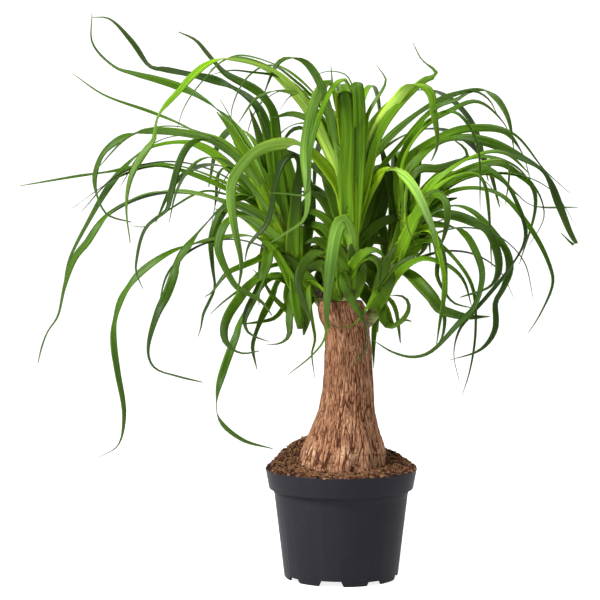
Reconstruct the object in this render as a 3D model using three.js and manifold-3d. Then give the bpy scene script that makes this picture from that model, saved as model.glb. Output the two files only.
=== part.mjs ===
// A ponytail palm in a nursery pot: pot, soil, trunk and three leafy shoots.
// Millimetres, +Z up, +X to the viewer's right, -Y towards the viewer. The origin is where the pot's axis
// meets the ground.
import * as THREE from "three";
import { mergeVertices } from "three/addons/utils/BufferGeometryUtils.js";
import Module from "manifold-3d";

const wasm = await Module();
wasm.setup();

// Pot
const potHeight = 139.5;
const rimRadius = 96.5;
const bandFootRadius = 92;
const bandFootHeight = 115;
const neckRadius = 85.8;
const neckHeight = 112.5;
const footRadius = 72.5;
const potWall = 1.5;
const floorHeight = 9;
const floorThickness = 2;
const padRadius = 20;
const roundSteps = 40;
const notchPitch = 45;
const firstNotch = -101;
const wideNotch = { degrees: 20, height: 7 };
const narrowNotch = { degrees: 14, height: 5 };
const drainRadius = 4.5;
const drainCircle = 56;
const drainSides = 8;
const slotDepth = 10;
const notchSpread = 1.5;
const footCorner = [1, 1.5];

// Soil
const soilGap = 0.35;
const soilEdge = 138.5;
const moundSide = 9;
const moundLeft = 12;
const moundBack = 20;
const moundFront = -7;
const moundSwell = 0.8;
const moundFlatness = 6;
const lumpHeight = 1.8;
const lumpSpan = 4.7;
const soilCentre = 0.5;
const soilShares = [0.93, 0.84, 0.74, 0.64, 0.5, 0.05];

// Trunk: height, left edge and right edge, from its buried foot to its top
const trunkEdges = [
  [78, -27, 32],
  [92, -48, 53],
  [118, -57, 61],
  [150, -52, 57],
  [160, -49.5, 56],
  [170, -45.5, 53.5],
  [190, -38, 47.5],
  [210, -30, 42.5],
  [240, -23.5, 41],
  [292, -20.6, 38],
  [318, -21, 35],
  [328, -30, 34],
  [345, -32, 30],
  [352, -28, 26],
];
const trunkSteps = 33;
const ridgeCount = 11;
const ridgeDepth = 0.035;
const ridgeSway = 34;
const burrowGap = 0.4;

// Leaves
const socketGap = 0.3;
const stemSteps = 9;
const stemSides = 10;
const bladeThickness = 1;
const bladeChannel = 0.1;
const tipNarrowing = 0.9;
const rootNarrowing = 0.65;
const rootShare = 0.22;
const edgeOn = 90;
const faceHold = 0.6;
const stepLength = 180;
const stepBend = 42;
const fewestSteps = 3;
const mostSteps = 9;

// Leaf routes are given as they show from the front, from this far away.
const eye = new THREE.Vector3(-52.4, -2500, 523);

// Each shoot's stem: x, y, z from inside the trunk to the top, and its radius at both ends.
const stems = {
  left: {
    path: [[-14, 4, 324], [-21, 6, 345], [-44, 10, 371], [-62, 12, 395], [-84, 12, 464]],
    radii: [9, 5],
  },
  middle: { path: [[5, -3, 324], [8, -1, 380], [12, 0, 450], [14, 0, 545]], radii: [10, 4] },
  right: { path: [[27, 9, 320], [37, 11, 330], [50, 12, 348], [62, 12, 380], [88, 12, 456]], radii: [9, 5] },
};

// Each leaf: its width, the height of its root on the stem, and its route to the tip. A route point is
// [x, z, turn, depth]: x and z as it shows from the front, turn in degrees from facing the viewer (0) over
// edge-on (90) to showing its back (180), and depth behind the pot's axis. A point that leaves out its turn
// or depth lies evenly between those that state it.
const leftLeaves = [
  [14, 390, [[-83, 480, 20], [-89, 535, 15], [-95, 571, 25], [-106, 597, 50], [-122, 612, 60],
    [-140, 622, 85], [-160, 630, 20], [-185, 636, 60], [-220, 643, 30], [-240, 648, 80], [-264, 679, 40],
    [-292, 707, 60], [-313, 708, 60, 80]]],
  [13, 400, [[-95, 500, 130], [-118, 545, 160], [-132, 568, 120], [-155, 592, 90], [-185, 613, 70],
    [-200, 620, 30], [-230, 630, 40], [-260, 638, 60], [-285, 647, 80], [-312, 676, 60],
    [-313, 713, 60, 50]]],
  [14, 420, [[-78, 500, 15], [-83, 566, 20], [-86, 590, 40], [-97, 608, 60], [-107, 617, 20],
    [-145, 638, 50], [-158, 651, 80], [-170, 665, 50], [-183, 680, 50], [-205, 690, 60, 20]]],
  [6, 450, [[-100, 500, 60], [-150, 547, 70], [-180, 563, 80], [-210, 578, 60], [-240, 590, 40],
    [-300, 612, 50], [-338, 638, 60, 60]]],
  [13, 440, [[-110, 505, 150], [-130, 532, 160], [-150, 550, 150], [-180, 560, 140], [-225, 566, 130],
    [-255, 565, 120], [-275, 558, 45], [-300, 540, 70], [-310, 517, 50], [-312, 503, 40], [-310, 488, 80],
    [-297, 461, 70], [-265, 451, 60, -40]]],
  [12, 450, [[-118, 495, 25], [-140, 520, 20], [-160, 537, 25], [-178, 547, 40], [-195, 552, 75],
    [-240, 546, 80], [-262, 532, 85], [-290, 501, 40], [-320, 452, 60], [-345, 402, 60],
    [-352, 366, 60, 50]]],
  [11, 430, [[-115, 463, 120], [-145, 476, 110], [-200, 490, 105], [-250, 486, 95], [-297, 459, 80],
    [-308, 446, 30], [-322, 425, 25], [-337, 407, 30], [-350, 372, 60], [-360, 332, 80], [-373, 312, 85],
    [-380, 293, 50], [-385, 272, 50, -20]]],
  [8, 445, [[-120, 485, 60], [-170, 511, 70], [-200, 521, 85], [-225, 524, 80], [-255, 521, 35],
    [-300, 514, 80], [-330, 510, 60], [-406, 497, 60, 30]]],
  [8, 448, [[-130, 484, 60], [-180, 509, 60], [-235, 522, 80], [-285, 507, 70], [-305, 494, 80],
    [-341, 468, 60, -10]]],
  [10, 450, [[-120, 520, 150], [-150, 545, 130], [-175, 556, 90], [-190, 551, 30], [-202, 533, 30],
    [-210, 508, 20], [-216, 485, 40], [-221, 468, 80], [-248, 444, 60], [-259, 405, 60], [-260, 388, 60],
    [-251, 367, 60, -60]]],
  [7, 435, [[-125, 510, 140], [-150, 530, 120], [-172, 533, 70], [-190, 521, 50], [-208, 491, 50],
    [-218, 450, 60, -70]]],
  [6, 448, [[-125, 484, 110], [-145, 486, 70], [-172, 491, 80], [-215, 469, 70], [-248, 446, 70],
    [-266, 447, 60, 10]]],
  [11, 360, [[-52, 362, 40, -8], [-62, 373, 25], [-71, 390, 30], [-82, 410, 40], [-96, 426, 70],
    [-116, 434, 110], [-138, 433, 110], [-165, 429, 100], [-215, 414, 70], [-255, 387, 30],
    [-270, 369, 80], [-279, 354, 30], [-287, 328, 75], [-289, 312, 30], [-288, 290, 15], [-284, 262, 25],
    [-276, 205, 50], [-285, 167, 80], [-312, 151, 70, -45]]],
  [13, 430, [[-115, 465, 140], [-140, 474, 120], [-159, 462, 95], [-187, 430, 80], [-199, 414, 20],
    [-208, 402, 20], [-211, 388, 70], [-221, 360, 50], [-234, 334, 80], [-246, 285, 70], [-238, 266, 60],
    [-210, 256, 60], [-176, 248, 60, -80]]],
  [14, 400, [[-60, 450, 15, -6], [-57, 490, 20], [-53, 532, 60], [-62, 538, 90], [-73, 530, 50],
    [-81, 512, 60], [-90, 465, 60], [-97, 446, 60], [-108, 434, 50], [-118, 422, 50],
    [-122, 403, 60, -45]]],
  [13, 400, [[-60, 370, 30, -14], [-56, 340, 20], [-51, 320, 20, -30], [-50, 313, 90, -27],
    [-52, 322, 160, -24], [-54, 338, 160, -22]]],
  [9, 385, [[-68, 360, 60, -10], [-65, 345, 45], [-66, 325, 15], [-66, 312, 30], [-72, 302, 60],
    [-84, 297, 60], [-97, 297, 70, -40]]],
  [12, 410, [[-84, 424, 60], [-92, 412, 50], [-94, 399, 10], [-99, 384, 45], [-104, 370, 60],
    [-110, 357, 30], [-118, 342, 20], [-124, 326, 60], [-120, 312, 80], [-108, 305, 60],
    [-92, 300, 60, -60]]],
  [13, 390, [[-80, 380, 90], [-105, 380, 65], [-119, 369, 50], [-130, 354, 20], [-143, 334, 12],
    [-149, 316, 10], [-147, 299, 25], [-138, 289, 80], [-125, 284, 70], [-104, 288, 60, -85]]],
  [11, 375, [[-62, 371, 60], [-85, 383, 60], [-98, 374, 60], [-112, 350, 70], [-127, 328, 75],
    [-133, 308, 40], [-140, 290, 25], [-150, 262, 15], [-158, 232, 80], [-158, 206, 80], [-153, 196, 50],
    [-125, 174, 60], [-87, 163, 70, -88]]],
  [12, 415, [[-110, 452, 120], [-135, 460, 90], [-149, 446, 50], [-156, 420, 20], [-151, 402, 35],
    [-143, 385, 40], [-134, 370, 25], [-121, 362, 30], [-109, 356, 30], [-98, 347, 50],
    [-88, 333, 60, -70]]],
  [8, 410, [[-90, 414, 90], [-105, 404, 60], [-125, 396, 30], [-145, 387, 50], [-165, 362, 80],
    [-173, 357, 60, -35]]],
  [8, 448, [[-110, 480, 90], [-130, 487, 80], [-150, 470, 60], [-160, 450, 60], [-165, 430, 30],
    [-163, 395, 40], [-161, 368, 60], [-168, 350, 40], [-175, 335, 20], [-178, 318, 30],
    [-182, 306, 60, -15]]],
  [6, 372, [[-68, 348, 60, -12], [-85, 330, 50], [-105, 325, 50], [-130, 322, 50, -30]]],
  [6, 356, [[-48, 342, 50, -4], [-62, 336, 50], [-76, 346, 40], [-90, 362, 40], [-100, 379, 60],
    [-112, 392, 60, -30]]],
  [5, 398, [[-95, 392, 60], [-120, 372, 60], [-150, 350, 60], [-167, 334, 60, -15]]],
  [9, 388, [[-78, 376, 70], [-86, 358, 60], [-93, 345, 25], [-100, 332, 30], [-105, 320, 75],
    [-110, 307, 60], [-113, 293, 30], [-107, 264, 60, -45]]],
  [11, 445, [[-110, 478, 90], [-130, 482, 60], [-145, 470, 30], [-158, 445, 20], [-162, 420, 30, 25]]],
  [8, 450, [[-125, 512, 100], [-145, 522, 80], [-155, 515, 30], [-158, 490, 20], [-160, 470, 40, 30]]],
  [4, 455, [[-105, 530, 60], [-122, 553, 60], [-154, 608, 60, 0]]],
  [16, 395, [[-92, 460, 20], [-115, 522, 15], [-129, 550, 15], [-142, 572, 20], [-157, 590, 50, -12]]],
  [16, 395, [[-84, 470, 20], [-93, 520, 15], [-101, 550, 15], [-109, 576, 25], [-116, 594, 50, 40]]],
  [5, 375, [[-34, 376, 60, -14], [-20, 360, 60, -36], [-19, 330, 60, -44], [-22, 303, 60], [-37, 283, 60],
    [-70, 256, 60, -48]]],
  [5, 372, [[-46, 366, 60, -2], [-42, 348, 60], [-36, 319, 60], [-33, 303, 60], [-37, 286, 60],
    [-33, 250, 60, -20]]],
];

const middleLeaves = [
  [20, 400, [[6, 500, 10, -13], [8, 570, 10, -17], [5, 604, 10, -14], [2, 618, 12, -8], [5, 604, 170, 7],
    [8, 530, 160, 16]]],
  [19, 410, [[21, 520, 10, -12], [21, 606, 10, -15], [18, 629, 15, -6], [17, 612, 165, 9],
    [14, 540, 155, 18]]],
  [18, 405, [[12, 500, 10, -8], [12, 580, 10, -8], [13, 618, 30, -2]]],
  [10, 500, [[12, 560, 150, -4], [10, 618, 130, -7], [5, 632, 90, -12], [-8, 624, 50, -26],
    [-28, 585, 40], [-40, 540, 50], [-42, 500, 60], [-47, 487, 85], [-75, 488, 85], [-105, 487, 80],
    [-120, 480, 70, -120]]],
  [15, 495, [[2, 560, 30, -4], [-6, 612, 60, -8], [-15, 627, 120, -14], [-26, 618, 160, -26],
    [-35, 599, 165], [-46, 545, 150], [-44, 505, 50], [-42, 478, 40], [-47, 453, 60], [-66, 440, 60],
    [-92, 424, 60, -95]]],
  [13, 440, [[-2, 500, 150, 4], [-10, 560, 150, 1], [-25, 620, 145], [-36, 642, 150], [-48, 655, 120],
    [-60, 658, 100], [-72, 658, 60], [-82, 650, 60], [-97, 615, 80], [-104, 596, 70, -60]]],
  [15, 430, [[-5, 510, 150, 6], [-25, 560, 150, 2], [-40, 590, 160], [-56, 611, 150], [-88, 641, 130],
    [-125, 654, 105], [-160, 655, 80], [-190, 633, 60], [-203, 618, 50], [-220, 600, 40], [-232, 585, 80],
    [-238, 555, 80], [-248, 540, 40], [-266, 508, 45], [-272, 470, 60], [-267, 425, 60, -150]]],
  [6, 520, [[-25, 600, 80, 8], [-62, 638, 60], [-85, 650, 80], [-130, 661, 60], [-158, 648, 60],
    [-167, 640, 60, -30]]],
  [6, 510, [[-15, 565, 60, 9], [-40, 605, 60, 0], [-75, 633, 60], [-115, 640, 60], [-140, 642, 50],
    [-165, 636, 60, -90]]],
  [8, 505, [[-20, 575, 120, 10], [-40, 600, 120, 0], [-60, 613, 120], [-80, 617, 90], [-97, 613, 60],
    [-110, 605, 40], [-130, 576, 60, -110]]],
  [5, 525, [[-30, 600, 60, 6], [-60, 630, 60], [-90, 649, 60], [-120, 632, 60], [-139, 590, 60],
    [-137, 570, 60, -40]]],
  [5, 515, [[-40, 602, 60, 6], [-100, 650, 60], [-143, 657, 60], [-172, 632, 60], [-197, 598, 60],
    [-207, 570, 60, -75]]],
  [4, 530, [[16, 600, 60], [12, 627, 60], [5, 637, 60], [-17, 641, 60], [-38, 634, 60, -40]]],
  [5, 530, [[-8, 600, 60], [-14, 652, 60, 12]]],
  [5, 500, [[-30, 588, 60, 8], [-50, 610, 60], [-62, 612, 60], [-80, 590, 60, -45]]],
  [16, 410, [[-2, 490, 40, 8], [-20, 520, 30, 2], [-46, 545, 50, -16], [-64, 550, 140], [-85, 549, 160],
    [-108, 540, 160], [-125, 523, 160], [-138, 503, 155], [-140, 484, 150], [-136, 448, 145],
    [-128, 408, 150], [-127, 392, 145], [-131, 365, 130, -150]]],
  [10, 425, [[-25, 488, 40], [-50, 500, 30], [-78, 505, 50], [-100, 495, 60], [-118, 470, 60, 95]]],
  [10, 405, [[-20, 455, 40, 12], [-45, 465, 40], [-66, 452, 60], [-80, 420, 60, 75]]],
  [10, 390, [[-18, 440, 40, 12], [-42, 448, 30], [-58, 436, 60], [-66, 410, 60, 62]]],
  [18, 385, [[12, 430, 150, -14], [6, 449, 160, -24], [2, 454, 160, -31], [-5, 443, 20, -38],
    [-13, 400, 15], [-18, 345, 20], [-18, 330, 30], [-15, 316, 40, -62]]],
  [13, 375, [[-10, 408, 120, -28], [-30, 414, 60], [-45, 402, 25], [-55, 378, 20], [-48, 350, 25],
    [-36, 322, 40, -75]]],
  [10, 368, [[2, 382, 110, -22], [8, 364, 40, -40], [22, 338, 40], [28, 326, 60], [33, 300, 65],
    [29, 288, 60], [17, 272, 60, -66]]],
  [9, 380, [[20, 405, 30], [33, 415, 30], [45, 417, 60], [60, 400, 60, -45]]],
  [9, 384, [[25, 403, 60], [40, 408, 60], [48, 398, 30], [48, 372, 60, -52]]],
  [7, 480, [[30, 560, 40], [32, 585, 50], [52, 620, 40], [55, 630, 50], [43, 649, 60, -10]]],
  [15, 430, [[25, 500, 150, 4], [40, 560, 165, 2], [56, 588, 165], [70, 606, 160], [84, 622, 140],
    [100, 625, 60], [112, 614, 20], [116, 590, 30], [121, 548, 50], [113, 528, 60, -45]]],
  [12, 440, [[28, 490, 20, 2], [44, 555, 15, -6], [64, 590, 15], [100, 627, 20, -22], [117, 638, 40, -24],
    [109, 647, 75], [99, 656, 60], [89, 677, 60, -12]]],
  [13, 455, [[26, 500, 105, 8], [45, 540, 110, 5], [70, 567, 110, 0], [115, 601, 115, -14],
    [165, 618, 110], [180, 618, 100], [193, 609, 30], [203, 596, 15], [211, 578, 30],
    [217, 543, 60, -115]]],
  [9, 460, [[45, 512, 60, 8], [75, 550, 50, 4], [120, 597, 50], [145, 606, 50], [165, 617, 60],
    [185, 606, 60], [195, 588, 60, -70]]],
  [15, 410, [[22, 450, 50, 8], [40, 500, 55, 4], [60, 517, 80], [76, 512, 140], [93, 492, 165],
    [106, 465, 165], [117, 437, 140], [121, 403, 60, -130]]],
];

const rightLeaves = [
  [15, 385, [[70, 460, 20], [62, 500, 20], [53, 535, 40], [46, 562, 60, 45]]],
  [14, 390, [[79, 460, 20], [82, 500, 20], [88, 528, 30], [96, 545, 50, 25]]],
  [15, 395, [[88, 445, 25], [104, 478, 20], [118, 492, 50], [136, 484, 70, -40]]],
  [10, 446, [[70, 505, 40], [78, 538, 25], [93, 562, 25], [112, 579, 35], [135, 591, 50], [165, 604, 50],
    [180, 600, 60], [205, 575, 60], [210, 565, 60, 70]]],
  [13, 448, [[76, 505, 30], [86, 532, 20], [100, 543, 25], [125, 558, 40], [150, 568, 40], [195, 569, 40],
    [209, 564, 50], [228, 538, 80], [238, 505, 60, 35]]],
  [15, 450, [[80, 500, 50], [98, 532, 45], [111, 543, 50], [140, 557, 65], [185, 552, 55], [230, 531, 60],
    [256, 515, 65], [275, 472, 15], [288, 440, 10], [297, 422, 30], [290, 426, 60], [277, 438, 70, -10]]],
  [5, 452, [[82, 520, 60], [110, 552, 60], [150, 570, 60], [190, 573, 60], [220, 560, 60], [256, 517, 60],
    [290, 486, 60, 95]]],
  [11, 446, [[84, 495, 60], [97, 518, 20], [120, 519, 20], [140, 525, 30], [157, 535, 60], [152, 546, 50],
    [139, 556, 60, -20]]],
  [9, 448, [[115, 500, 40], [140, 520, 40], [160, 532, 50], [190, 541, 60], [210, 537, 60],
    [237, 512, 60, -35]]],
  [10, 446, [[100, 463, 60], [130, 497, 30], [155, 512, 30], [190, 513, 60], [220, 488, 70],
    [240, 473, 80], [298, 470, 60, 20]]],
  [8, 442, [[120, 480, 60], [150, 493, 60], [180, 493, 60], [205, 483, 60], [243, 437, 35],
    [264, 395, 50], [268, 375, 60], [252, 335, 60], [237, 311, 60, -50]]],
  [7, 448, [[120, 495, 60], [150, 512, 60], [172, 513, 60], [181, 498, 50], [186, 465, 50],
    [190, 395, 60, -60]]],
  [6, 452, [[76, 520, 60], [96, 562, 60], [122, 588, 60], [143, 590, 60], [160, 573, 50], [172, 545, 60],
    [175, 466, 60, -40]]],
  [6, 450, [[130, 505, 60], [190, 530, 60], [210, 526, 50], [211, 505, 50], [206, 471, 60, -20]]],
  [9, 449, [[140, 510, 60], [200, 525, 50], [225, 510, 30], [241, 497, 50], [245, 470, 60],
    [225, 398, 60, 30]]],
  [4, 447, [[150, 503, 60], [210, 512, 60], [240, 500, 60], [256, 460, 60], [236, 420, 60, 10]]],
  [8, 444, [[130, 500, 60], [180, 520, 60], [205, 503, 60], [220, 478, 60], [233, 433, 50],
    [212, 392, 60], [185, 358, 50], [165, 335, 30], [150, 315, 50], [143, 285, 80], [150, 248, 60, -70]]],
  [13, 430, [[105, 456, 90], [140, 460, 30], [165, 452, 20], [183, 443, 40], [193, 425, 40],
    [199, 403, 20], [198, 384, 30], [190, 370, 80], [150, 356, 60, -90]]],
  [12, 432, [[110, 458, 90], [140, 472, 90], [165, 465, 60], [200, 428, 60], [210, 412, 40],
    [213, 392, 20], [206, 370, 60], [196, 350, 60], [195, 315, 30], [178, 290, 60], [137, 276, 60, -40]]],
  [10, 420, [[105, 448, 120], [135, 447, 120], [155, 437, 40], [168, 418, 40], [178, 385, 40],
    [168, 345, 60], [150, 325, 40], [112, 287, 60], [90, 281, 60], [65, 287, 60], [40, 302, 60, -95]]],
  [6, 410, [[100, 427, 60], [120, 425, 60], [155, 390, 60], [167, 365, 50], [170, 310, 50],
    [163, 262, 60], [153, 230, 60, -80]]],
  [10, 352, [[65, 377, 50, -12], [88, 400, 50], [105, 406, 70], [122, 402, 60], [140, 394, 60],
    [155, 378, 60], [165, 345, 60, -60]]],
  [4, 356, [[44, 362, 60, -16], [34, 346, 60, -38], [22, 328, 60, -47], [8, 319, 60],
    [-17, 319, 60, -50]]],
  [16, 385, [[81, 386, 60, -12], [92, 379, 20], [104, 368, 10], [115, 356, 15], [124, 343, 50],
    [140, 336, 40], [160, 332, 50], [188, 332, 60, -70]]],
  [12, 440, [[105, 470, 60], [120, 487, 60], [131, 480, 20], [134, 458, 20], [130, 435, 30],
    [124, 418, 50, -100]]],
  [8, 425, [[100, 443, 60], [114, 441, 40], [121, 422, 40], [127, 400, 40], [131, 376, 30],
    [129, 350, 30], [125, 325, 30], [120, 291, 60, -85]]],
  [7, 420, [[104, 446, 60], [116, 428, 60], [122, 405, 50], [121, 385, 50], [129, 366, 70],
    [142, 350, 50], [156, 345, 50], [173, 342, 60, -50]]],
  [8, 420, [[108, 440, 60], [122, 412, 60], [129, 385, 60], [129, 352, 60], [131, 325, 20],
    [128, 306, 30], [120, 292, 60, -35]]],
  [7, 350, [[52, 328, 40, -14], [60, 320, 40], [70, 322, 40], [80, 331, 45], [85, 343, 50], [82, 353, 50],
    [74, 358, 60], [62, 358, 60, -38]]],
  [5, 352, [[58, 335, 50, 2], [66, 321, 40], [80, 328, 60], [89, 326, 60, -14]]],
  [5, 358, [[66, 345, 60, 0], [72, 320, 60], [75, 298, 60, -8]]],
  [6, 350, [[50, 342, 40, 26], [44, 325, 40], [41, 300, 40], [41, 266, 60, 34]]],
];

// Leaves that no view from the front shows well, on the back of each shoot: how many, between which
// directions in degrees about +Z from +X, and how long and wide they are.
const backLeaves = {
  left: { count: 10, from: 70, to: 215, length: [230, 380], width: [8, 13] },
  middle: { count: 10, from: 35, to: 150, length: [260, 400], width: [8, 13] },
  right: { count: 10, from: -20, to: 105, length: [210, 350], width: [8, 13] },
};
const backSteps = 5;
const goldenPart = 0.618034;

// A closed solid from a mesh whose shared corners are merged.
function solidOf(geometry) {
  geometry.deleteAttribute("normal");
  geometry.deleteAttribute("uv");
  const merged = mergeVertices(geometry, 1e-4);
  const vertProperties = merged.attributes.position.array;
  const triVerts = new Uint32Array(merged.index.array);
  return new wasm.Manifold(new wasm.Mesh({ numProp: 3, vertProperties, triVerts }));
}

function geometryOf(solid) {
  const mesh = solid.getMesh();
  const geometry = new THREE.BufferGeometry();
  geometry.setAttribute("position", new THREE.BufferAttribute(mesh.vertProperties, 3));
  geometry.setIndex(new THREE.BufferAttribute(mesh.triVerts, 1));
  geometry.computeVertexNormals();
  return geometry;
}

function fuse(solids) {
  return wasm.Manifold.union(solids);
}

function degrees(angle) {
  return THREE.MathUtils.degToRad(angle);
}

// A skin over rings of points, each ring counter-clockwise about the way the rings follow each other, with
// flat ends. From ring place foldFrom on, the squares are split along their other diagonal.
function skin(rings, foldFrom = Infinity) {
  const size = rings[0].length;
  const positions = rings.flat().flatMap((point) => [point.x, point.y, point.z]);
  const triangles = [];
  for (let row = 0; row < rings.length - 1; row += 1) {
    for (let place = 0; place < size; place += 1) {
      const near = row * size + place;
      const nearNext = row * size + (place + 1) % size;
      const far = near + size;
      const farNext = nearNext + size;
      if (place >= foldFrom) {
        triangles.push(near, nearNext, far, nearNext, farNext, far);
      } else {
        triangles.push(near, nearNext, farNext, near, farNext, far);
      }
    }
  }
  const last = (rings.length - 1) * size;
  for (let place = 1; place < size - 1; place += 1) {
    triangles.push(0, place + 1, place);
    triangles.push(last, last + place, last + place + 1);
  }
  const geometry = new THREE.BufferGeometry();
  geometry.setAttribute("position", new THREE.Float32BufferAttribute(positions, 3));
  geometry.setIndex(triangles);
  return geometry;
}

// A solid turned about the pot's axis from a profile of [radius, height], closed on itself.
function turned(profile) {
  const outline = profile.map(([radius, height]) => new THREE.Vector2(radius, height));
  outline.push(outline[0].clone());
  const geometry = new THREE.LatheGeometry(outline, roundSteps);
  geometry.rotateX(Math.PI / 2);
  return solidOf(geometry);
}

// The outside of the pot's wall, or a shell inset from it, from the foot up.
function potWallAt(inset) {
  return [
    [footRadius - inset, floorHeight],
    [neckRadius - inset, neckHeight],
    [bandFootRadius - inset, bandFootHeight],
    [rimRadius - inset, potHeight],
  ];
}

function buildPot() {
  const outside = potWallAt(0).slice(1);
  const inside = potWallAt(potWall).slice(1).reverse();
  const cup = turned([
    [footRadius - footCorner[0], 0],
    [footRadius, footCorner[1]],
    ...outside,
    ...inside,
    [footRadius - potWall, floorHeight],
    [0, floorHeight],
    [0, 0],
    [padRadius, 0],
    [padRadius + 2, floorHeight - floorThickness],
    [footRadius - 2 * potWall, floorHeight - floorThickness],
    [footRadius - 2 * potWall, 0],
  ]);
  const cuts = [];
  for (let place = 0; place < 360 / notchPitch; place += 1) {
    const notch = place % 2 === 0 ? wideNotch : narrowNotch;
    const around = degrees(firstNotch + place * notchPitch);
    const width = 2 * footRadius * Math.sin(degrees(notch.degrees / 2));
    const slot = new THREE.BoxGeometry(slotDepth, width, 2 * notch.height);
    const corners = slot.attributes.position;
    for (let corner = 0; corner < corners.count; corner += 1) {
      const spread = corners.getZ(corner) < 0 ? notchSpread : 1;
      corners.setY(corner, spread * corners.getY(corner));
    }
    slot.translate(footRadius, 0, 0);
    slot.rotateZ(around);
    cuts.push(solidOf(slot));
    const drain = new THREE.CylinderGeometry(drainRadius, drainRadius, 4 * floorThickness, drainSides);
    drain.rotateX(Math.PI / 2);
    drain.translate(drainCircle, 0, floorHeight);
    drain.rotateZ(around);
    cuts.push(solidOf(drain));
  }
  return cup.subtract(fuse(cuts));
}

// The trunk's corky surface at a height and direction, grown outwards by a clearance.
function trunkRing(height, left, right, clearance) {
  const middle = (left + right) / 2;
  const radius = (right - left) / 2 + clearance;
  const ring = [];
  for (let place = 0; place < trunkSteps; place += 1) {
    const around = place / trunkSteps * 2 * Math.PI;
    const ridges = Math.cos(ridgeCount * around + 2 * Math.sin(height / ridgeSway));
    const reach = radius * (1 + ridgeDepth * ridges);
    ring.push(new THREE.Vector3(middle + reach * Math.cos(around), reach * Math.sin(around), height));
  }
  return ring;
}

function trunkBody(clearance) {
  const rings = [];
  for (let index = 0; index < trunkEdges.length; index += 1) {
    const [height, left, right] = trunkEdges[index];
    const drop = index === 0 ? clearance : 0;
    rings.push(trunkRing(height - drop, left, right, clearance));
  }
  return solidOf(skin(rings));
}

function buildTrunk() {
  const sockets = Object.values(stems).map((stem) => stemBody(stem, socketGap));
  return trunkBody(0).subtract(fuse(sockets));
}

// How high the soil lies over its edge at a share of the pot's radius and a direction.
function moundHeight(share, around) {
  const behind = Math.sin(around);
  const rise = behind > 0 ? moundBack * behind ** moundSwell : -moundFront * behind;
  const left = behind > 0 ? moundLeft * Math.max(-Math.sin(2 * around), 0) : 0;
  return (moundSide + rise + left) * (1 - share ** moundFlatness);
}

function buildSoil() {
  const rings = [];
  const sides = potWallAt(potWall + soilGap);
  const bottom = floorHeight + soilGap;
  for (const [radius, height] of [[soilCentre, bottom], ...sides]) {
    rings.push({ radius, share: 1, height: THREE.MathUtils.clamp(height, bottom, soilEdge) });
  }
  for (const share of soilShares) {
    rings.push({ radius: share * sides.at(-1)[0], share, height: soilEdge });
  }
  const points = rings.map(({ radius, share, height }) => {
    const ring = [];
    for (let place = 0; place < roundSteps; place += 1) {
      const around = place / roundSteps * 2 * Math.PI;
      const x = radius * Math.cos(around);
      const y = radius * Math.sin(around);
      const lumps = share < 1 ? lumpHeight * Math.sin(x / lumpSpan) * Math.cos(y / lumpSpan) : 0;
      ring.push(new THREE.Vector3(x, y, height + moundHeight(share, around) + lumps));
    }
    return ring;
  });
  return solidOf(skin(points)).subtract(trunkBody(burrowGap));
}

// A smooth line through points, in steps of equal length.
function lineThrough(points, steps) {
  const curve = new THREE.CatmullRomCurve3(points, false, "centripetal");
  return curve.getSpacedPoints(steps);
}

function stemPoints(stem) {
  return stem.path.map(([x, y, z]) => new THREE.Vector3(x, y, z));
}

// The stem's own solid, grown by a clearance where it makes its socket.
function stemBody(stem, clearance = 0) {
  const line = lineThrough(stemPoints(stem), stemSteps);
  const rings = line.map((centre, row) => {
    const along = tangent(line, row);
    const side = new THREE.Vector3(0, 1, 0).cross(along).normalize();
    const front = along.clone().cross(side);
    const radius = THREE.MathUtils.lerp(stem.radii[0], stem.radii[1], row / stemSteps) + clearance;
    const start = row === 0 ? centre.clone().addScaledVector(along, -clearance) : centre;
    const ring = [];
    for (let place = 0; place < stemSides; place += 1) {
      const around = place / stemSides * 2 * Math.PI;
      const point = start.clone().addScaledVector(side, radius * Math.cos(around));
      ring.push(point.addScaledVector(front, radius * Math.sin(around)));
    }
    return ring;
  });
  return solidOf(skin(rings));
}

function tangent(line, row) {
  const before = line[Math.max(row - 1, 0)];
  const after = line[Math.min(row + 1, line.length - 1)];
  return after.clone().sub(before).normalize();
}

// The point of the stem's line at a height.
function stemAt(stem, height) {
  const points = stemPoints(stem);
  const upper = points.findIndex((point) => point.z >= height);
  const last = upper < 0 ? points.length - 1 : Math.max(upper, 1);
  const share = Math.min((height - points[last - 1].z) / (points[last].z - points[last - 1].z), 1);
  return points[last - 1].clone().lerp(points[last], share);
}

// Where a point that shows at x, z from the front lies, once it is slid along the line of sight to a depth.
function placed(x, z, depth) {
  const sight = new THREE.Vector3(x, 0, z).sub(eye);
  return sight.multiplyScalar((depth - eye.y) / -eye.y).add(eye);
}

// The value at a place of a route, straight between the nearest places that state one.
function valueAt(places, values, at, easing = (share) => share) {
  const pairs = places.map((place, index) => [place, values[index]]);
  const stated = pairs.filter(([, value]) => value !== undefined);
  const after = stated.findIndex(([place]) => place >= at);
  if (after <= 0) {
    return after === 0 ? stated[0][1] : stated.at(-1)[1];
  }
  const [fromPlace, fromValue] = stated[after - 1];
  const [toPlace, toValue] = stated[after];
  return fromValue + (toValue - fromValue) * easing((at - fromPlace) / (toPlace - fromPlace));
}

// A blade shows its face or its back for longer than its edge.
function faced(turn) {
  const past = turn - edgeOn;
  return edgeOn + Math.sign(past) * edgeOn * (Math.abs(past) / edgeOn) ** faceHold;
}

// A leaf leaves its stem steeply and then runs level, seen from the side.
function spreading(share) {
  return 1 - (1 - share) ** 2;
}

// A blade is narrow where it leaves its neighbours at the stem, and runs out to a point.
function widthAt(width, share) {
  const root = 1 - rootNarrowing * Math.max(1 - share / rootShare, 0);
  return width * root * (1 - tipNarrowing * share ** 3);
}

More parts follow.
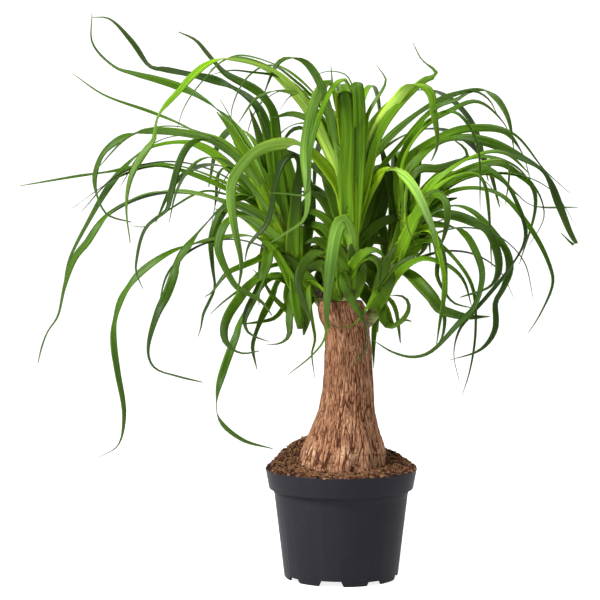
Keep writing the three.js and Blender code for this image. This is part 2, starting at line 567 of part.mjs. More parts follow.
// A leaf blade along a line: a shallow channel with a keel, its sides given at each point of the line.
function blade(line, sides, width) {
  const rings = line.map((centre, row) => {
    const share = row / (line.length - 1);
    const half = widthAt(width, share) / 2;
    const side = sides[row];
    const up = tangent(line, row).cross(side).normalize();
    const edge = 2 * half * bladeChannel;
    return [
      centre.clone().addScaledVector(side, -half).addScaledVector(up, edge),
      centre.clone().addScaledVector(up, -bladeThickness),
      centre.clone().addScaledVector(side, half).addScaledVector(up, edge),
      centre.clone(),
    ];
  });
  return solidOf(skin(rings, 2));
}

// How many steps a blade's line takes: more where it is long and where it bends.
function stepsFor(points) {
  const fine = lineThrough(points, 24);
  let length = 0;
  let bend = 0;
  for (let row = 1; row < fine.length; row += 1) {
    length += fine[row].distanceTo(fine[row - 1]);
    bend += THREE.MathUtils.radToDeg(tangent(fine, row).angleTo(tangent(fine, row - 1)));
  }
  return THREE.MathUtils.clamp(Math.round(length / stepLength + bend / stepBend), fewestSteps, mostSteps);
}

function routedLeaf(stem, [width, rootHeight, route]) {
  const root = stemAt(stem, rootHeight);
  const flat = [[root.x, root.z], ...route];
  const places = [0];
  for (let index = 1; index < flat.length; index += 1) {
    const run = Math.hypot(flat[index][0] - flat[index - 1][0], flat[index][1] - flat[index - 1][1]);
    places.push(places.at(-1) + run);
  }
  const turns = flat.map((point) => point[2]);
  const depths = [root.y, ...route.map((point) => point[3])];
  const points = route.map(([x, z], index) => {
    const depth = valueAt(places, depths, places[index + 1], spreading);
    return placed(x, z, depth);
  });
  const total = places.at(-1);
  const line = lineThrough([root, ...points], stepsFor([root, ...points]));
  const steps = line.length - 1;
  const wayLeft = route.at(-1)[0] < root.x;
  const sides = line.map((centre, row) => {
    const along = tangent(line, row);
    const sight = centre.clone().sub(eye).normalize();
    const across = along.clone().cross(sight).normalize();
    const turn = valueAt(places, turns, row / steps * total);
    const angle = degrees(wayLeft ? faced(turn) : -faced(turn));
    const deep = along.clone().cross(across);
    return across.multiplyScalar(Math.cos(angle)).addScaledVector(deep, Math.sin(angle));
  });
  return blade(line, sides, width);
}

// A repeatable draw between 0 and 1.
function draw(seed) {
  const wave = Math.sin(seed * 12.9898) * 43758.5453;
  return wave - Math.floor(wave);
}

function drawBetween([low, high], seed) {
  return low + (high - low) * draw(seed);
}

// A leaf on the back of a shoot: it rises from the stem, arches over and hangs.
function backLeaf(stem, rule, index, seed) {
  const around = degrees(rule.from + (rule.to - rule.from) * ((index + 0.5) * goldenPart % 1));
  const low = stem.path[2][2];
  const high = stem.path.at(-1)[2];
  const age = index / rule.count;
  const length = drawBetween(rule.length, seed + 1);
  const rise = degrees(66 - 26 * age + 8 * draw(seed + 2));
  const fall = degrees(120 + 35 * draw(seed + 3));
  const sway = degrees(30 * (draw(seed + 4) - 0.5));
  const roll = degrees(100 * (draw(seed + 5) - 0.5));
  const points = [stemAt(stem, high - (high - low) * age)];
  for (let step = 0; step < backSteps; step += 1) {
    const share = (step + 0.5) / backSteps;
    const climb = rise - fall * share ** 1.3;
    const heading = around + sway * share;
    const level = Math.cos(climb);
    const stride = new THREE.Vector3(level * Math.cos(heading), level * Math.sin(heading), Math.sin(climb));
    points.push(points.at(-1).clone().addScaledVector(stride, length / backSteps));
  }
  const line = lineThrough(points, backSteps);
  const sides = line.map((centre, row) => {
    const along = tangent(line, row);
    const level = new THREE.Vector3(-Math.sin(around), Math.cos(around), 0);
    level.addScaledVector(along, -level.dot(along)).normalize();
    const angle = roll * row / backSteps;
    const deep = along.clone().cross(level);
    return level.multiplyScalar(Math.cos(angle)).addScaledVector(deep, Math.sin(angle));
  });
  return blade(line, sides, drawBetween(rule.width, seed + 6));
}

// A shoot's stem and the leaves that show from the front.
function frontOf(name, leaves) {
  const stem = stems[name];
  return fuse([stemBody(stem), ...leaves.map((leaf) => routedLeaf(stem, leaf))]);
}

// A whole shoot, with its back leaves. One that would cross what stands there already is left out.
function grown(name, front, seed, standing) {
  const pieces = [front];
  for (let index = 0; index < backLeaves[name].count; index += 1) {
    const leaf = backLeaf(stems[name], backLeaves[name], index, seed + 10 * index);
    if (leaf.intersect(standing).isEmpty()) {
      pieces.push(leaf);
    }
  }
  return wholeOf(fuse(pieces));
}

// The main body of a fused solid, without loose scraps.
function wholeOf(solid) {
  const bodies = solid.decompose();
  bodies.sort((one, other) => other.volume() - one.volume());
  return bodies[0];
}

function meshOf(name, solid, material) {
  const mesh = new THREE.Mesh(geometryOf(solid), new THREE.MeshStandardMaterial(material));
  mesh.name = name;
  return mesh;
}

const pot = buildPot();
const trunk = buildTrunk();
const soil = buildSoil();
const ground = fuse([pot, trunk, soil]);
const fronts = {
  left: frontOf("left", leftLeaves),
  middle: frontOf("middle", middleLeaves),
  right: frontOf("right", rightLeaves),
};
const shootLeft = grown("left", fronts.left, 7753, fuse([ground, fronts.middle, fronts.right]));
const shootMiddle = grown("middle", fronts.middle, 11220, fuse([ground, shootLeft, fronts.right]));
const shootRight = grown("right", fronts.right, 1601, fuse([ground, shootLeft, shootMiddle]));

const group = new THREE.Group();
group.add(meshOf("pot", pot, { color: 0x333136, roughness: 0.45, metalness: 0 }));
group.add(meshOf("soil", soil, { color: 0x3d2b1f, roughness: 0.95, metalness: 0 }));
group.add(meshOf("trunk", trunk, { color: 0xa9805f, roughness: 0.85, metalness: 0 }));
group.add(meshOf("shoot_left", shootLeft, { color: 0x3f6f1d, roughness: 0.5, metalness: 0 }));
group.add(meshOf("shoot_middle", shootMiddle, { color: 0x5a8a24, roughness: 0.5, metalness: 0 }));
group.add(meshOf("shoot_right", shootRight, { color: 0x4a7d1f, roughness: 0.5, metalness: 0 }));

export default group;
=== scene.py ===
import math

import bpy
import numpy as np
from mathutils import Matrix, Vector, noise


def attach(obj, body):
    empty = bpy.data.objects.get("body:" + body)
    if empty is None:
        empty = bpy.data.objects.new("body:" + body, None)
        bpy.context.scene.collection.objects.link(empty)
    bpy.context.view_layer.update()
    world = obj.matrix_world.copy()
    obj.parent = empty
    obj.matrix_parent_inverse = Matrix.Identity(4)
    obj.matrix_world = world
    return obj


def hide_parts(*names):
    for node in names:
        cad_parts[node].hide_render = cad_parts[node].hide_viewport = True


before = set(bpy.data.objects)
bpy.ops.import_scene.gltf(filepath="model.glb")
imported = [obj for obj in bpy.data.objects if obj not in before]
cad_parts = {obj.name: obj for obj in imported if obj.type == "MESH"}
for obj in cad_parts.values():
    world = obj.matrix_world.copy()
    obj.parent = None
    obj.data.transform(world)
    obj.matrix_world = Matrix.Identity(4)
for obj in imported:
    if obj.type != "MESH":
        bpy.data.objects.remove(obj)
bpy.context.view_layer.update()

# The pot is a black nursery pot, injection moulded in one piece of polypropylene: a wide rim band, a step
# under it that nests in the next pot, a tapered wall, and a notched foot ring round a raised floor. It is
# raised ring by ring from the pad under its floor. Lengths are in millimetres, radii before heights.
MM = 0.001
pot_outline = [
    (22, 7), (69.5, 7), (69.5, 0), (71.5, 0), (72.5, 1.5), (84.5, 102), (84.9, 106.4), (85.6, 107.8),
    (85.8, 111.4), (87.6, 112.6), (91.4, 114), (92, 115.4), (96, 137.2), (96.4, 138.7), (95.8, 139.5),
    (95.1, 138.9), (94.5, 135.5), (90.5, 115.5), (84.4, 112), (71, 9),
]
pad_radius = 20
pot_sides = 160
notch_pitch = 45
first_notch = -101
notches = [(20, 7), (14, 5)]
slot_depth = 10
notch_spread = 1.5
foot_radius = 72.5
drain_circle = 56
drain_radius = 4.5
drain_height = 8
drain_length = 8
drain_sides = 24
edge_round = 0.4


def linear(code):
    """The linear colour of an sRGB hex code."""
    parts = [int(code[at:at + 2], 16) / 255 for at in (1, 3, 5)]
    return [part / 12.92 if part <= 0.04045 else ((part + 0.055) / 1.055) ** 2.4 for part in parts] + [1]


def add(material, kind, settings, links=None, stops=()):
    """A new node of a material, with its settings, the links into it and the colours of its ramp."""
    node = material.node_tree.nodes.new(kind)
    for name, value in settings.items():
        if hasattr(node, str(name)):
            setattr(node, name, value)
        else:
            node.inputs[name].default_value = value
    for name, source in (links or {}).items():
        material.node_tree.links.new(source, node.inputs[name])
    for count, (place, code) in enumerate(stops):
        stop = node.color_ramp.elements[count] if count < 2 else node.color_ramp.elements.new(place)
        stop.position = place
        stop.color = linear(code)
    return node


def material_named(name):
    """A new material without any node yet."""
    material = bpy.data.materials.new(name)
    material.use_nodes = True
    material.node_tree.nodes.clear()
    return material


def coat(piece, material):
    """A piece covered in one material."""
    piece.data.materials.clear()
    piece.data.materials.append(material)


def raise_rings(from_ring, rings):
    """Walls raised from the selected ring in edit mode; each ring is (centre x, radius, height)."""
    centre, radius, height = from_ring
    for next_centre, next_radius, next_height in rings:
        step = ((next_centre - centre) * MM, 0, (next_height - height) * MM)
        bpy.ops.mesh.extrude_edges_move(TRANSFORM_OT_translate={"value": step})
        spread = next_radius / radius
        bpy.ops.transform.resize(value=(spread, spread, 1), center_override=(next_centre * MM, 0, 0))
        centre, radius, height = next_centre, next_radius, next_height


def begin_ring(name, sides, centre, radius, height):
    """A round floor to raise a piece from, in edit mode with its rim selected."""
    bpy.ops.object.select_all(action="DESELECT")
    bpy.ops.mesh.primitive_circle_add(vertices=sides, radius=radius * MM, fill_type="NGON",
                                      location=(centre * MM, 0, height * MM))
    bpy.ops.object.transform_apply()
    bpy.context.object.name = name
    bpy.ops.object.mode_set(mode="EDIT")
    bpy.ops.mesh.select_mode(type="EDGE")
    bpy.ops.mesh.select_all(action="SELECT")
    return bpy.context.object


def close_ring():
    """The last ring filled, and every face of the piece turned outwards."""
    bpy.ops.mesh.edge_face_add()
    bpy.ops.mesh.select_all(action="SELECT")
    bpy.ops.mesh.normals_make_consistent(inside=False)
    bpy.ops.object.mode_set(mode="OBJECT")


pot = begin_ring("pot_shell", pot_sides, 0, pad_radius, 0)
raise_rings((0, pad_radius, 0), [(0, radius, height) for radius, height in pot_outline])
close_ring()
cutters = []
for place in range(360 // notch_pitch):
    width, height = notches[place % 2]
    around = math.radians(first_notch + place * notch_pitch)
    facing = (math.cos(around), math.sin(around))
    bpy.ops.object.select_all(action="DESELECT")
    notch_place = (foot_radius * MM * facing[0], foot_radius * MM * facing[1], 0)
    bpy.ops.mesh.primitive_cube_add(size=1, rotation=(0, 0, around), location=notch_place)
    notch = bpy.context.object
    for vertex in notch.data.vertices:
        vertex.co.y *= notch_spread if vertex.co.z < 0 else 1
    notch_width = 2 * foot_radius * MM * math.sin(math.radians(width / 2))
    notch.scale = (slot_depth * MM, notch_width, 2 * height * MM)
    cutters.append(notch)
    drain_place = (drain_circle * MM * facing[0], drain_circle * MM * facing[1], drain_height * MM)
    bpy.ops.mesh.primitive_cylinder_add(vertices=drain_sides, radius=drain_radius * MM,
                                        depth=drain_length * MM, location=drain_place)
    cutters.append(bpy.context.object)
bpy.ops.object.select_all(action="DESELECT")
for cutter in cutters:
    cutter.select_set(True)
bpy.context.view_layer.objects.active = cutters[0]
bpy.ops.object.join()
bpy.ops.object.select_all(action="DESELECT")
pot.select_set(True)
bpy.context.view_layer.objects.active = pot
cut = pot.modifiers.new("notches", "BOOLEAN")
cut.operation = "DIFFERENCE"
cut.solver = "EXACT"
cut.object = cutters[0]
bpy.ops.object.modifier_apply(modifier=cut.name)
bpy.data.objects.remove(cutters[0])
soften = pot.modifiers.new("soften", "BEVEL")
soften.width = edge_round * MM
soften.segments = 2
soften.limit_method = "ANGLE"
soften.angle_limit = math.radians(40)
bpy.ops.object.modifier_apply(modifier=soften.name)
bpy.ops.object.shade_smooth_by_angle(angle=math.radians(35))

# Moulded polypropylene: near black with a trace of violet, satin from the etched mould, whose pits are
# 0.9 mm wide, with faint streaks up the wall that the melt leaves and a little soil dust.
polypropylene = material_named("moulded_polypropylene")
place = add(polypropylene, "ShaderNodeTexCoord", {}).outputs["Object"]
etch = add(polypropylene, "ShaderNodeTexNoise", {"Scale": 1 / (0.9 * MM), "Detail": 3, "Roughness": 0.6},
           {"Vector": place})
long_space = add(polypropylene, "ShaderNodeMapping", {"Scale": (1, 1, 0.05)}, {"Vector": place})
streaks = add(polypropylene, "ShaderNodeTexNoise", {"Scale": 1 / (10 * MM), "Detail": 3},
              {"Vector": long_space.outputs["Vector"]})
gloss = add(polypropylene, "ShaderNodeMapRange", {"To Min": 0.46, "To Max": 0.5},
            {"Value": streaks.outputs["Fac"]})
tint = add(polypropylene, "ShaderNodeValToRGB", {}, {"Fac": streaks.outputs["Fac"]},
           [(0.3, "#201f24"), (0.7, "#222126")])
dust = add(polypropylene, "ShaderNodeTexNoise", {"Scale": 1 / (14 * MM), "Detail": 6, "Roughness": 0.7},
           {"Vector": place})
dusty = add(polypropylene, "ShaderNodeMapRange",
            {"From Min": 0.56, "From Max": 0.8, "To Min": 0.0, "To Max": 0.06},
            {"Value": dust.outputs["Fac"]})
wall = add(polypropylene, "ShaderNodeMix", {"data_type": "RGBA", 7: linear("#6a6058")},
           {0: dusty.outputs["Result"], 6: tint.outputs["Color"]})
pores = add(polypropylene, "ShaderNodeBump", {"Strength": 0.15, "Distance": 0.1 * MM},
            {"Height": etch.outputs["Fac"]})
finish = add(polypropylene, "ShaderNodeBsdfPrincipled", {"IOR": 1.49, "Specular IOR Level": 0.05},
             {"Base Color": wall.outputs[2], "Roughness": gloss.outputs["Result"],
              "Normal": pores.outputs["Normal"]})
add(polypropylene, "ShaderNodeOutputMaterial", {}, {"Surface": finish.outputs["BSDF"]})
coat(pot, polypropylene)
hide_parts("pot")
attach(pot, "root")

# The soil is a dark peat potting mix, heaped round the trunk higher on the left and at the back, flush with
# the rim in front. It is crumbly: granules, bark chips and dry coir fibres lie loose on it.
soil_outline = [(83.4, 110.5), (89.5, 116), (93.6, 135.5), (94.1, 138.1)]
soil_floor = (70.2, 9.4)
soil_edge = 138.5
soil_rings = 42
mound_side = 8
mound_left = 12
mound_back = 20
mound_front = -7
trunk_foot = (3, 54)
soil_sides = 160
crumb_count = 5200
crumb_span = (0.6, 3.2)
crumb_reach = 95
chip_share = 0.22
fibre_count = 1100
fibre_span = (5, 19)
fibre_thickness = (0.2, 0.5)
fibre_lift = (0.4, 2.2)
fibre_reach = 88
fibre_limit = 90
fibre_steps = 6


def mound_height(x, y):
    """The height of the heaped soil, with its soft lumps."""
    share = min(math.hypot(x, y) / soil_outline[-1][0], 1)
    around = math.atan2(y, x)
    behind = math.sin(around)
    high = mound_side + (mound_back * behind ** 0.8 if behind > 0 else -mound_front * behind)
    high += mound_left * max(-math.sin(2 * around), 0) if behind > 0 else 0
    lumps = noise.noise(Vector((x / 9, y / 9, 3))) * 3 + noise.noise(Vector((x / 3.2, y / 3.2, 8))) * 1.6
    return soil_edge + high * (1 - share ** 6) + lumps * min((1 - share) * 9, 1)


def paint(piece, name, values):
    """A number for each point of a piece, for its material to read."""
    layer = piece.data.attributes.new(name, "FLOAT", "POINT")
    layer.data.foreach_set("value", np.array(values, np.float32))


def mesh_piece(name, points, faces):
    """A new piece from the places of its points and the corners of its faces."""
    mesh = bpy.data.meshes.new(name)
    mesh.from_pydata((np.array(points) * MM).tolist(), [], faces)
    piece = bpy.data.objects.new(name, mesh)
    bpy.context.collection.objects.link(piece)
    return piece


def skin(rows, places, start=0):
    """The faces round a row of rings, closed at both ends, with corners counted from a start."""
    faces = []
    for row in range(rows - 1):
        for place in range(places):
            beside = (place + 1) % places
            corners = (row * places + place, row * places + beside,
                       (row + 1) * places + beside, (row + 1) * places + place)
            faces.append(tuple(start + corner for corner in corners))
    faces.append(tuple(start + place for place in range(places - 1, -1, -1)))
    faces.append(tuple(start + (rows - 1) * places + place for place in range(places)))
    return faces


soil = begin_ring("soil_heap", soil_sides, 0, *soil_floor)
inward = [(0, soil_outline[-1][0] * (1 - step / soil_rings), soil_edge) for step in range(1, soil_rings)]
raise_rings((0, *soil_floor), [(0, radius, height) for radius, height in soil_outline] + inward)
close_ring()
for vertex in soil.data.vertices:
    if vertex.co.z > (soil_edge - 0.1) * MM:
        vertex.co.z = mound_height(vertex.co.x / MM, vertex.co.y / MM) * MM
bpy.ops.object.shade_smooth()
paint(soil, "tone", [0.35 + 0.5 * noise.noise(vertex.co / (4 * MM)) for vertex in soil.data.vertices])

bpy.ops.object.select_all(action="DESELECT")
bpy.ops.mesh.primitive_ico_sphere_add(subdivisions=1, radius=1)
granule = bpy.context.object
granule_points = np.array([vertex.co for vertex in granule.data.vertices])
granule_faces = np.array([polygon.vertices for polygon in granule.data.polygons])
bpy.data.objects.remove(granule)
scatter = np.random.default_rng(7)
crumb_points = []
crumb_faces = []
crumb_tones = []
while len(crumb_faces) < crumb_count:
    around = scatter.uniform(0, 2 * math.pi)
    reach = crumb_reach * math.sqrt(scatter.uniform(0.2, 1))
    x = reach * math.cos(around)
    y = reach * math.sin(around)
    if math.hypot(x - trunk_foot[0], y) < trunk_foot[1]:
        continue
    chip = scatter.uniform() < chip_share
    size = crumb_span[0] + (crumb_span[1] - crumb_span[0]) * scatter.uniform() ** 2.2
    shape = np.array([size * 1.5, size * 0.8, size * 0.35]) if chip else size * scatter.uniform(0.6, 1.1, 3)
    lean = scatter.uniform(-0.6, 0.6, 2) if chip else scatter.uniform(-1.5, 1.5, 2)
    turn = scatter.uniform(0, 2 * math.pi)
    points = granule_points * shape * scatter.uniform(0.75, 1.25, (len(granule_points), 1))
    for (first, second), angle in (((1, 2), lean[0]), ((0, 2), lean[1]), ((0, 1), turn)):
        one = points[:, first] * math.cos(angle) - points[:, second] * math.sin(angle)
        two = points[:, first] * math.sin(angle) + points[:, second] * math.cos(angle)
        points[:, first], points[:, second] = one, two
    rest = mound_height(x, y) + size * 0.25
    crumb_faces.append(granule_faces + len(granule_points) * len(crumb_points))
    crumb_points.append(points + (x, y, rest))
    crumb_tones += [scatter.uniform(0.55, 1) if chip else scatter.uniform(0, 0.75)] * len(granule_points)
crumbs = mesh_piece("soil_crumbs", np.concatenate(crumb_points), np.concatenate(crumb_faces).tolist())
paint(crumbs, "tone", crumb_tones)

fibre_points = []
fibre_faces = []
fibre_tones = []
for strand in range(fibre_count):
    around = scatter.uniform(0, 2 * math.pi)
    reach = fibre_reach * math.sqrt(scatter.uniform(0.3, 1))
    spot = np.array([reach * math.cos(around), reach * math.sin(around)])
    heading = scatter.uniform(0, 2 * math.pi)
    bend = scatter.uniform(-0.5, 0.5)
    length = scatter.uniform(*fibre_span)
    thick = scatter.uniform(*fibre_thickness)
    lift = scatter.uniform(*fibre_lift)
    tone = scatter.uniform(0.7, 1)
    fibre_faces += skin(fibre_steps + 1, 3, len(fibre_points))
    for step in range(fibre_steps + 1):
        share = step / fibre_steps
        height = mound_height(*spot) + 0.6 + lift * math.sin(math.pi * share)
        across = np.array([-math.sin(heading), math.cos(heading)]) * thick
        fibre_points += [(*(spot - across), height), (*(spot + across), height),
                         (*spot, height + thick * 1.6)]
        fibre_tones += [tone] * 3
        heading += bend
        ahead = spot + np.array([math.cos(heading), math.sin(heading)]) * length / fibre_steps
        spot = ahead if np.hypot(*ahead) < fibre_limit else spot * 0.99
fibres = mesh_piece("soil_fibres", fibre_points, fibre_faces)
paint(fibres, "tone", fibre_tones)

# Moist peat and coir: matt and dark, mottled at 2.2 mm, with paler dry crumbs, red-brown bark chips and
# brown fibres.
peat = material_named("peat_and_coir")
place = add(peat, "ShaderNodeTexCoord", {}).outputs["Object"]
tone = add(peat, "ShaderNodeAttribute", {"attribute_name": "tone"})
specks = add(peat, "ShaderNodeTexNoise", {"Scale": 1 / (2.2 * MM), "Detail": 4, "Roughness": 0.7},
             {"Vector": place})
mottled = add(peat, "ShaderNodeMath", {"operation": "MULTIPLY_ADD", 1: 0.55},
              {0: specks.outputs["Fac"], 2: tone.outputs["Fac"]})
shade = add(peat, "ShaderNodeValToRGB", {}, {"Fac": mottled.outputs["Value"]},
            [(0.25, "#170c08"), (1.0, "#735337"),
             (0.5, "#301b13"), (0.72, "#47291d"), (0.88, "#573725")])
lumps = add(peat, "ShaderNodeBump", {"Strength": 0.6, "Distance": 0.6 * MM},
            {"Height": specks.outputs["Fac"]})
finish = add(peat, "ShaderNodeBsdfPrincipled", {"Roughness": 0.93, "IOR": 1.4, "Specular IOR Level": 0.2},
             {"Base Color": shade.outputs["Color"], "Normal": lumps.outputs["Normal"]})
add(peat, "ShaderNodeOutputMaterial", {}, {"Surface": finish.outputs["BSDF"]})
for piece in (soil, crumbs, fibres):
    coat(piece, peat)
    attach(piece, "root")
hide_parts("soil")

# The trunk is the plant's corky foot: broad where it meets the soil, narrow above. Its dry cork is split by
# darker upright furrows, crossed by level cracks low down, and finely wrinkled. Its top is cut and its foot
# is buried in the soil. Outline: height, left edge and right edge.
trunk_outline = [
    (78, -27, 32), (92, -48, 53), (118, -57, 61), (150, -52, 57), (160, -49.5, 56), (170, -45.5, 53.5),
    (190, -38, 47.5), (210, -30, 42.5), (240, -23.5, 41), (292, -20.6, 38), (318, -21, 35), (328, -28, 34),
    (345, -31, 30), (352, -28, 26),
]
trunk_sides = 208
buried_rings = 10
shown_rings = 86
soil_line = 136
ridge_count = 11
ridge_depth = 0.035
ridge_sway = 34
bark_radius = 40
furrow_gap = 5
furrow_width = 0.08
wrinkle_gap = 1.9
wrinkle_width = 0.13
upright_length = 9
level_gap = 4.5
level_width = 0.09
level_length = 3.5
crack_depth = 1.5
wrinkle_depth = 0.8
level_depth = 0.8
flare_top = 205
fibrous_from = 225
passage = 50
bark_seed = 5
outline_heights, left_edges, right_edges = np.array(trunk_outline, dtype=float).T
ring_heights = np.concatenate([np.linspace(outline_heights[0], soil_line, buried_rings, endpoint=False),
                               np.linspace(soil_line, outline_heights[-1], shown_rings)])
ring_lefts = np.interp(ring_heights, outline_heights, left_edges)
ring_rights = np.interp(ring_heights, outline_heights, right_edges)
round_off = np.hanning(7)[1:-1] / np.hanning(7).sum()
ring_lefts[2:-2] = np.convolve(ring_lefts, round_off, mode="valid")
ring_rights[2:-2] = np.convolve(ring_rights, round_off, mode="valid")
ring_middles = (ring_lefts + ring_rights) / 2
ring_radii = (ring_rights - ring_lefts) / 2
rings = list(zip(ring_middles, ring_radii, ring_heights))
trunk = begin_ring("trunk_bark", trunk_sides, *rings[0])
top_centre, top_radius, top_height = rings[-1]
inward = [(top_centre, top_radius * share, top_height)
          for share in (0.92, 0.8, 0.66, 0.52, 0.38, 0.24, 0.1)]
raise_rings(rings[0], rings[1:] + inward)
close_ring()
bpy.ops.object.mode_set(mode="EDIT")
bpy.ops.mesh.select_all(action="SELECT")
bpy.ops.mesh.subdivide(number_cuts=1)
bpy.ops.object.mode_set(mode="OBJECT")
bpy.ops.object.shade_smooth()


def bark_lines(spot, across, along, warp, width):
    """How near a point lies to one of the wavy lines that run through the bark: 1 on a line, 0 far off."""
    field = noise.noise(Vector((spot.x / across, spot.y / across, spot.z / along)) + warp)
    return math.exp(-(field / width) ** 2)


noise.seed_set(bark_seed)
cracks = []
tones = []
for vertex in trunk.data.vertices:
    x, y, height = vertex.co / MM
    middle = np.interp(height, ring_heights, ring_middles)
    outward = Vector((x - middle, y, 0))
    radius = outward.length
    rim = np.interp(height, ring_heights, ring_radii)
    outward.normalize()
    if height > top_height - 0.1 and radius < rim * 0.97:
        spot = Vector((x - middle, y, height))
        rough = 1.4 * noise.noise(spot / 6) + 0.7 * noise.noise(spot / 2)
        vertex.co.z += min(rough, 0.3) * MM
        cracks.append(0.7)
        tones.append(0.2)
        continue
    around = math.atan2(y, x - middle)
    spot = Vector((bark_radius * math.cos(around), bark_radius * math.sin(around), height))
    flare = min(max((flare_top - height) / passage, 0), 1)
    fibrous = min(max((height - fibrous_from) / passage, 0), 1)
    ridges = math.cos(ridge_count * around + 2 * math.sin(height / ridge_sway))
    sway = noise.noise_vector(Vector((spot.x / 9, spot.y / 9, spot.z / 16)))
    ripple = noise.noise_vector(Vector((spot.x / 3, spot.y / 3, spot.z / 6)))
    furrow = bark_lines(spot, furrow_gap, upright_length * furrow_gap, 0.25 * sway + 0.05 * ripple,
                        furrow_width)
    furrow *= min(max(0.75 + 0.9 * noise.noise(spot / 11) + 0.25 * flare, 0.2), 1)
    wrinkle = bark_lines(spot, wrinkle_gap, upright_length * wrinkle_gap, 0.6 * sway + 0.22 * ripple,
                         wrinkle_width)
    level = bark_lines(spot, level_length * level_gap, level_gap, 0.4 * sway + 0.1 * ripple, level_width)
    level *= flare * min(max(0.3 + 2.5 * noise.noise(spot / 9), 0), 1)
    fine = noise.noise(Vector((spot.x / 1.4, spot.y / 1.4, spot.z / 7)))
    coarse = noise.noise(Vector((spot.x / 5, spot.y / 5, spot.z / 30)))
    out = 0.9 * coarse + 0.3 * fine - crack_depth * furrow * (0.5 + 0.5 * flare)
    out -= (wrinkle_depth - 0.35 * flare) * wrinkle + level_depth * level
    out += ridge_depth * rim * ridges * (0.3 + 0.7 * flare)
    fade = min((height - outline_heights[0]) / 15, 1) * min((top_height - height + 3) / 6, 1)
    vertex.co += outward * out * fade * MM
    cracks.append(min((0.85 - 0.3 * fibrous) * furrow + (0.55 - 0.25 * flare) * wrinkle + 0.7 * level, 1))
    tones.append(0.4 + 0.2 * flare + 0.25 * noise.noise(spot / 15) + 0.25 * fine + 0.2 * coarse)
paint(trunk, "crack", cracks)
paint(trunk, "tone", tones)

# Dry cork: matt and warm, tan on its crests, red-brown below them and dark in its cracks, with a fibrous
# upright grain, drawn 1.6 mm wide so that it shows.
cork = material_named("dry_cork")
place = add(cork, "ShaderNodeTexCoord", {}).outputs["Object"]
tone = add(cork, "ShaderNodeAttribute", {"attribute_name": "tone"})
crack = add(cork, "ShaderNodeAttribute", {"attribute_name": "crack"})
grain_space = add(cork, "ShaderNodeMapping", {"Scale": (1, 1, 0.2)}, {"Vector": place})
grain = add(cork, "ShaderNodeTexNoise", {"Scale": 1 / (1.6 * MM), "Detail": 5, "Roughness": 0.65},
            {"Vector": grain_space.outputs["Vector"]})
crest = add(cork, "ShaderNodeValToRGB", {}, {"Fac": tone.outputs["Fac"]},
            [(0.05, "#7e573c"), (0.95, "#c8ac8a"), (0.4, "#946b4e"), (0.7, "#ac8667")])
hollow = add(cork, "ShaderNodeValToRGB", {}, {"Fac": crack.outputs["Fac"]},
             [(0.1, "#ffffff"), (0.95, "#5f3f2c"), (0.5, "#a37e65")])
fibre = add(cork, "ShaderNodeValToRGB", {}, {"Fac": grain.outputs["Fac"]},
            [(0.34, "#8c7260"), (0.6, "#ffffff")])
hollowed = add(cork, "ShaderNodeMix", {"data_type": "RGBA", "blend_type": "MULTIPLY", 0: 0.95},
               {6: crest.outputs["Color"], 7: hollow.outputs["Color"]})
grained = add(cork, "ShaderNodeMix", {"data_type": "RGBA", "blend_type": "MULTIPLY", 0: 0.9},
              {6: hollowed.outputs[2], 7: fibre.outputs["Color"]})
relief = add(cork, "ShaderNodeBump", {"Strength": 0.8, "Distance": 0.8 * MM},
             {"Height": grain.outputs["Fac"]})
finish = add(cork, "ShaderNodeBsdfPrincipled", {"Roughness": 0.88, "IOR": 1.45, "Specular IOR Level": 0.25},
             {"Base Color": grained.outputs[2], "Normal": relief.outputs["Normal"]})
add(cork, "ShaderNodeOutputMaterial", {}, {"Surface": finish.outputs["BSDF"]})
coat(trunk, cork)
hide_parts("trunk")
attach(trunk, "root")

# The crown is three leafy shoots out of the trunk's cut top: one leaning left, one upright, one leaning
# right. Each has a short soft stem, hidden by the clasping feet of its long leathery strap leaves.
eye = np.array([-52.4, -2500, 523])

# A stem: its line as x, y and z, its radius at both ends, the seed of its leaves, and its back leaves: how
# many, the two directions in degrees that they spread between, and the shortest and longest.
stems = {
    "left": {"line": [[-14, 4, 324], [-21, 6, 345], [-44, 10, 371], [-62, 12, 395], [-84, 12, 464]],
             "radii": (9, 5), "seed": 7753, "back": (10, 70, 215, 230, 380)},
    "middle": {"line": [[5, -3, 324], [8, -1, 380], [12, 0, 450], [14, 0, 545]],
               "radii": (10, 4), "seed": 11220, "back": (10, 35, 150, 260, 400)},
    "right": {"line": [[27, 9, 320], [37, 11, 330], [50, 12, 348], [62, 12, 380], [88, 12, 456]],
              "radii": (9, 5), "seed": 1601, "back": (10, -20, 105, 210, 350)},
}

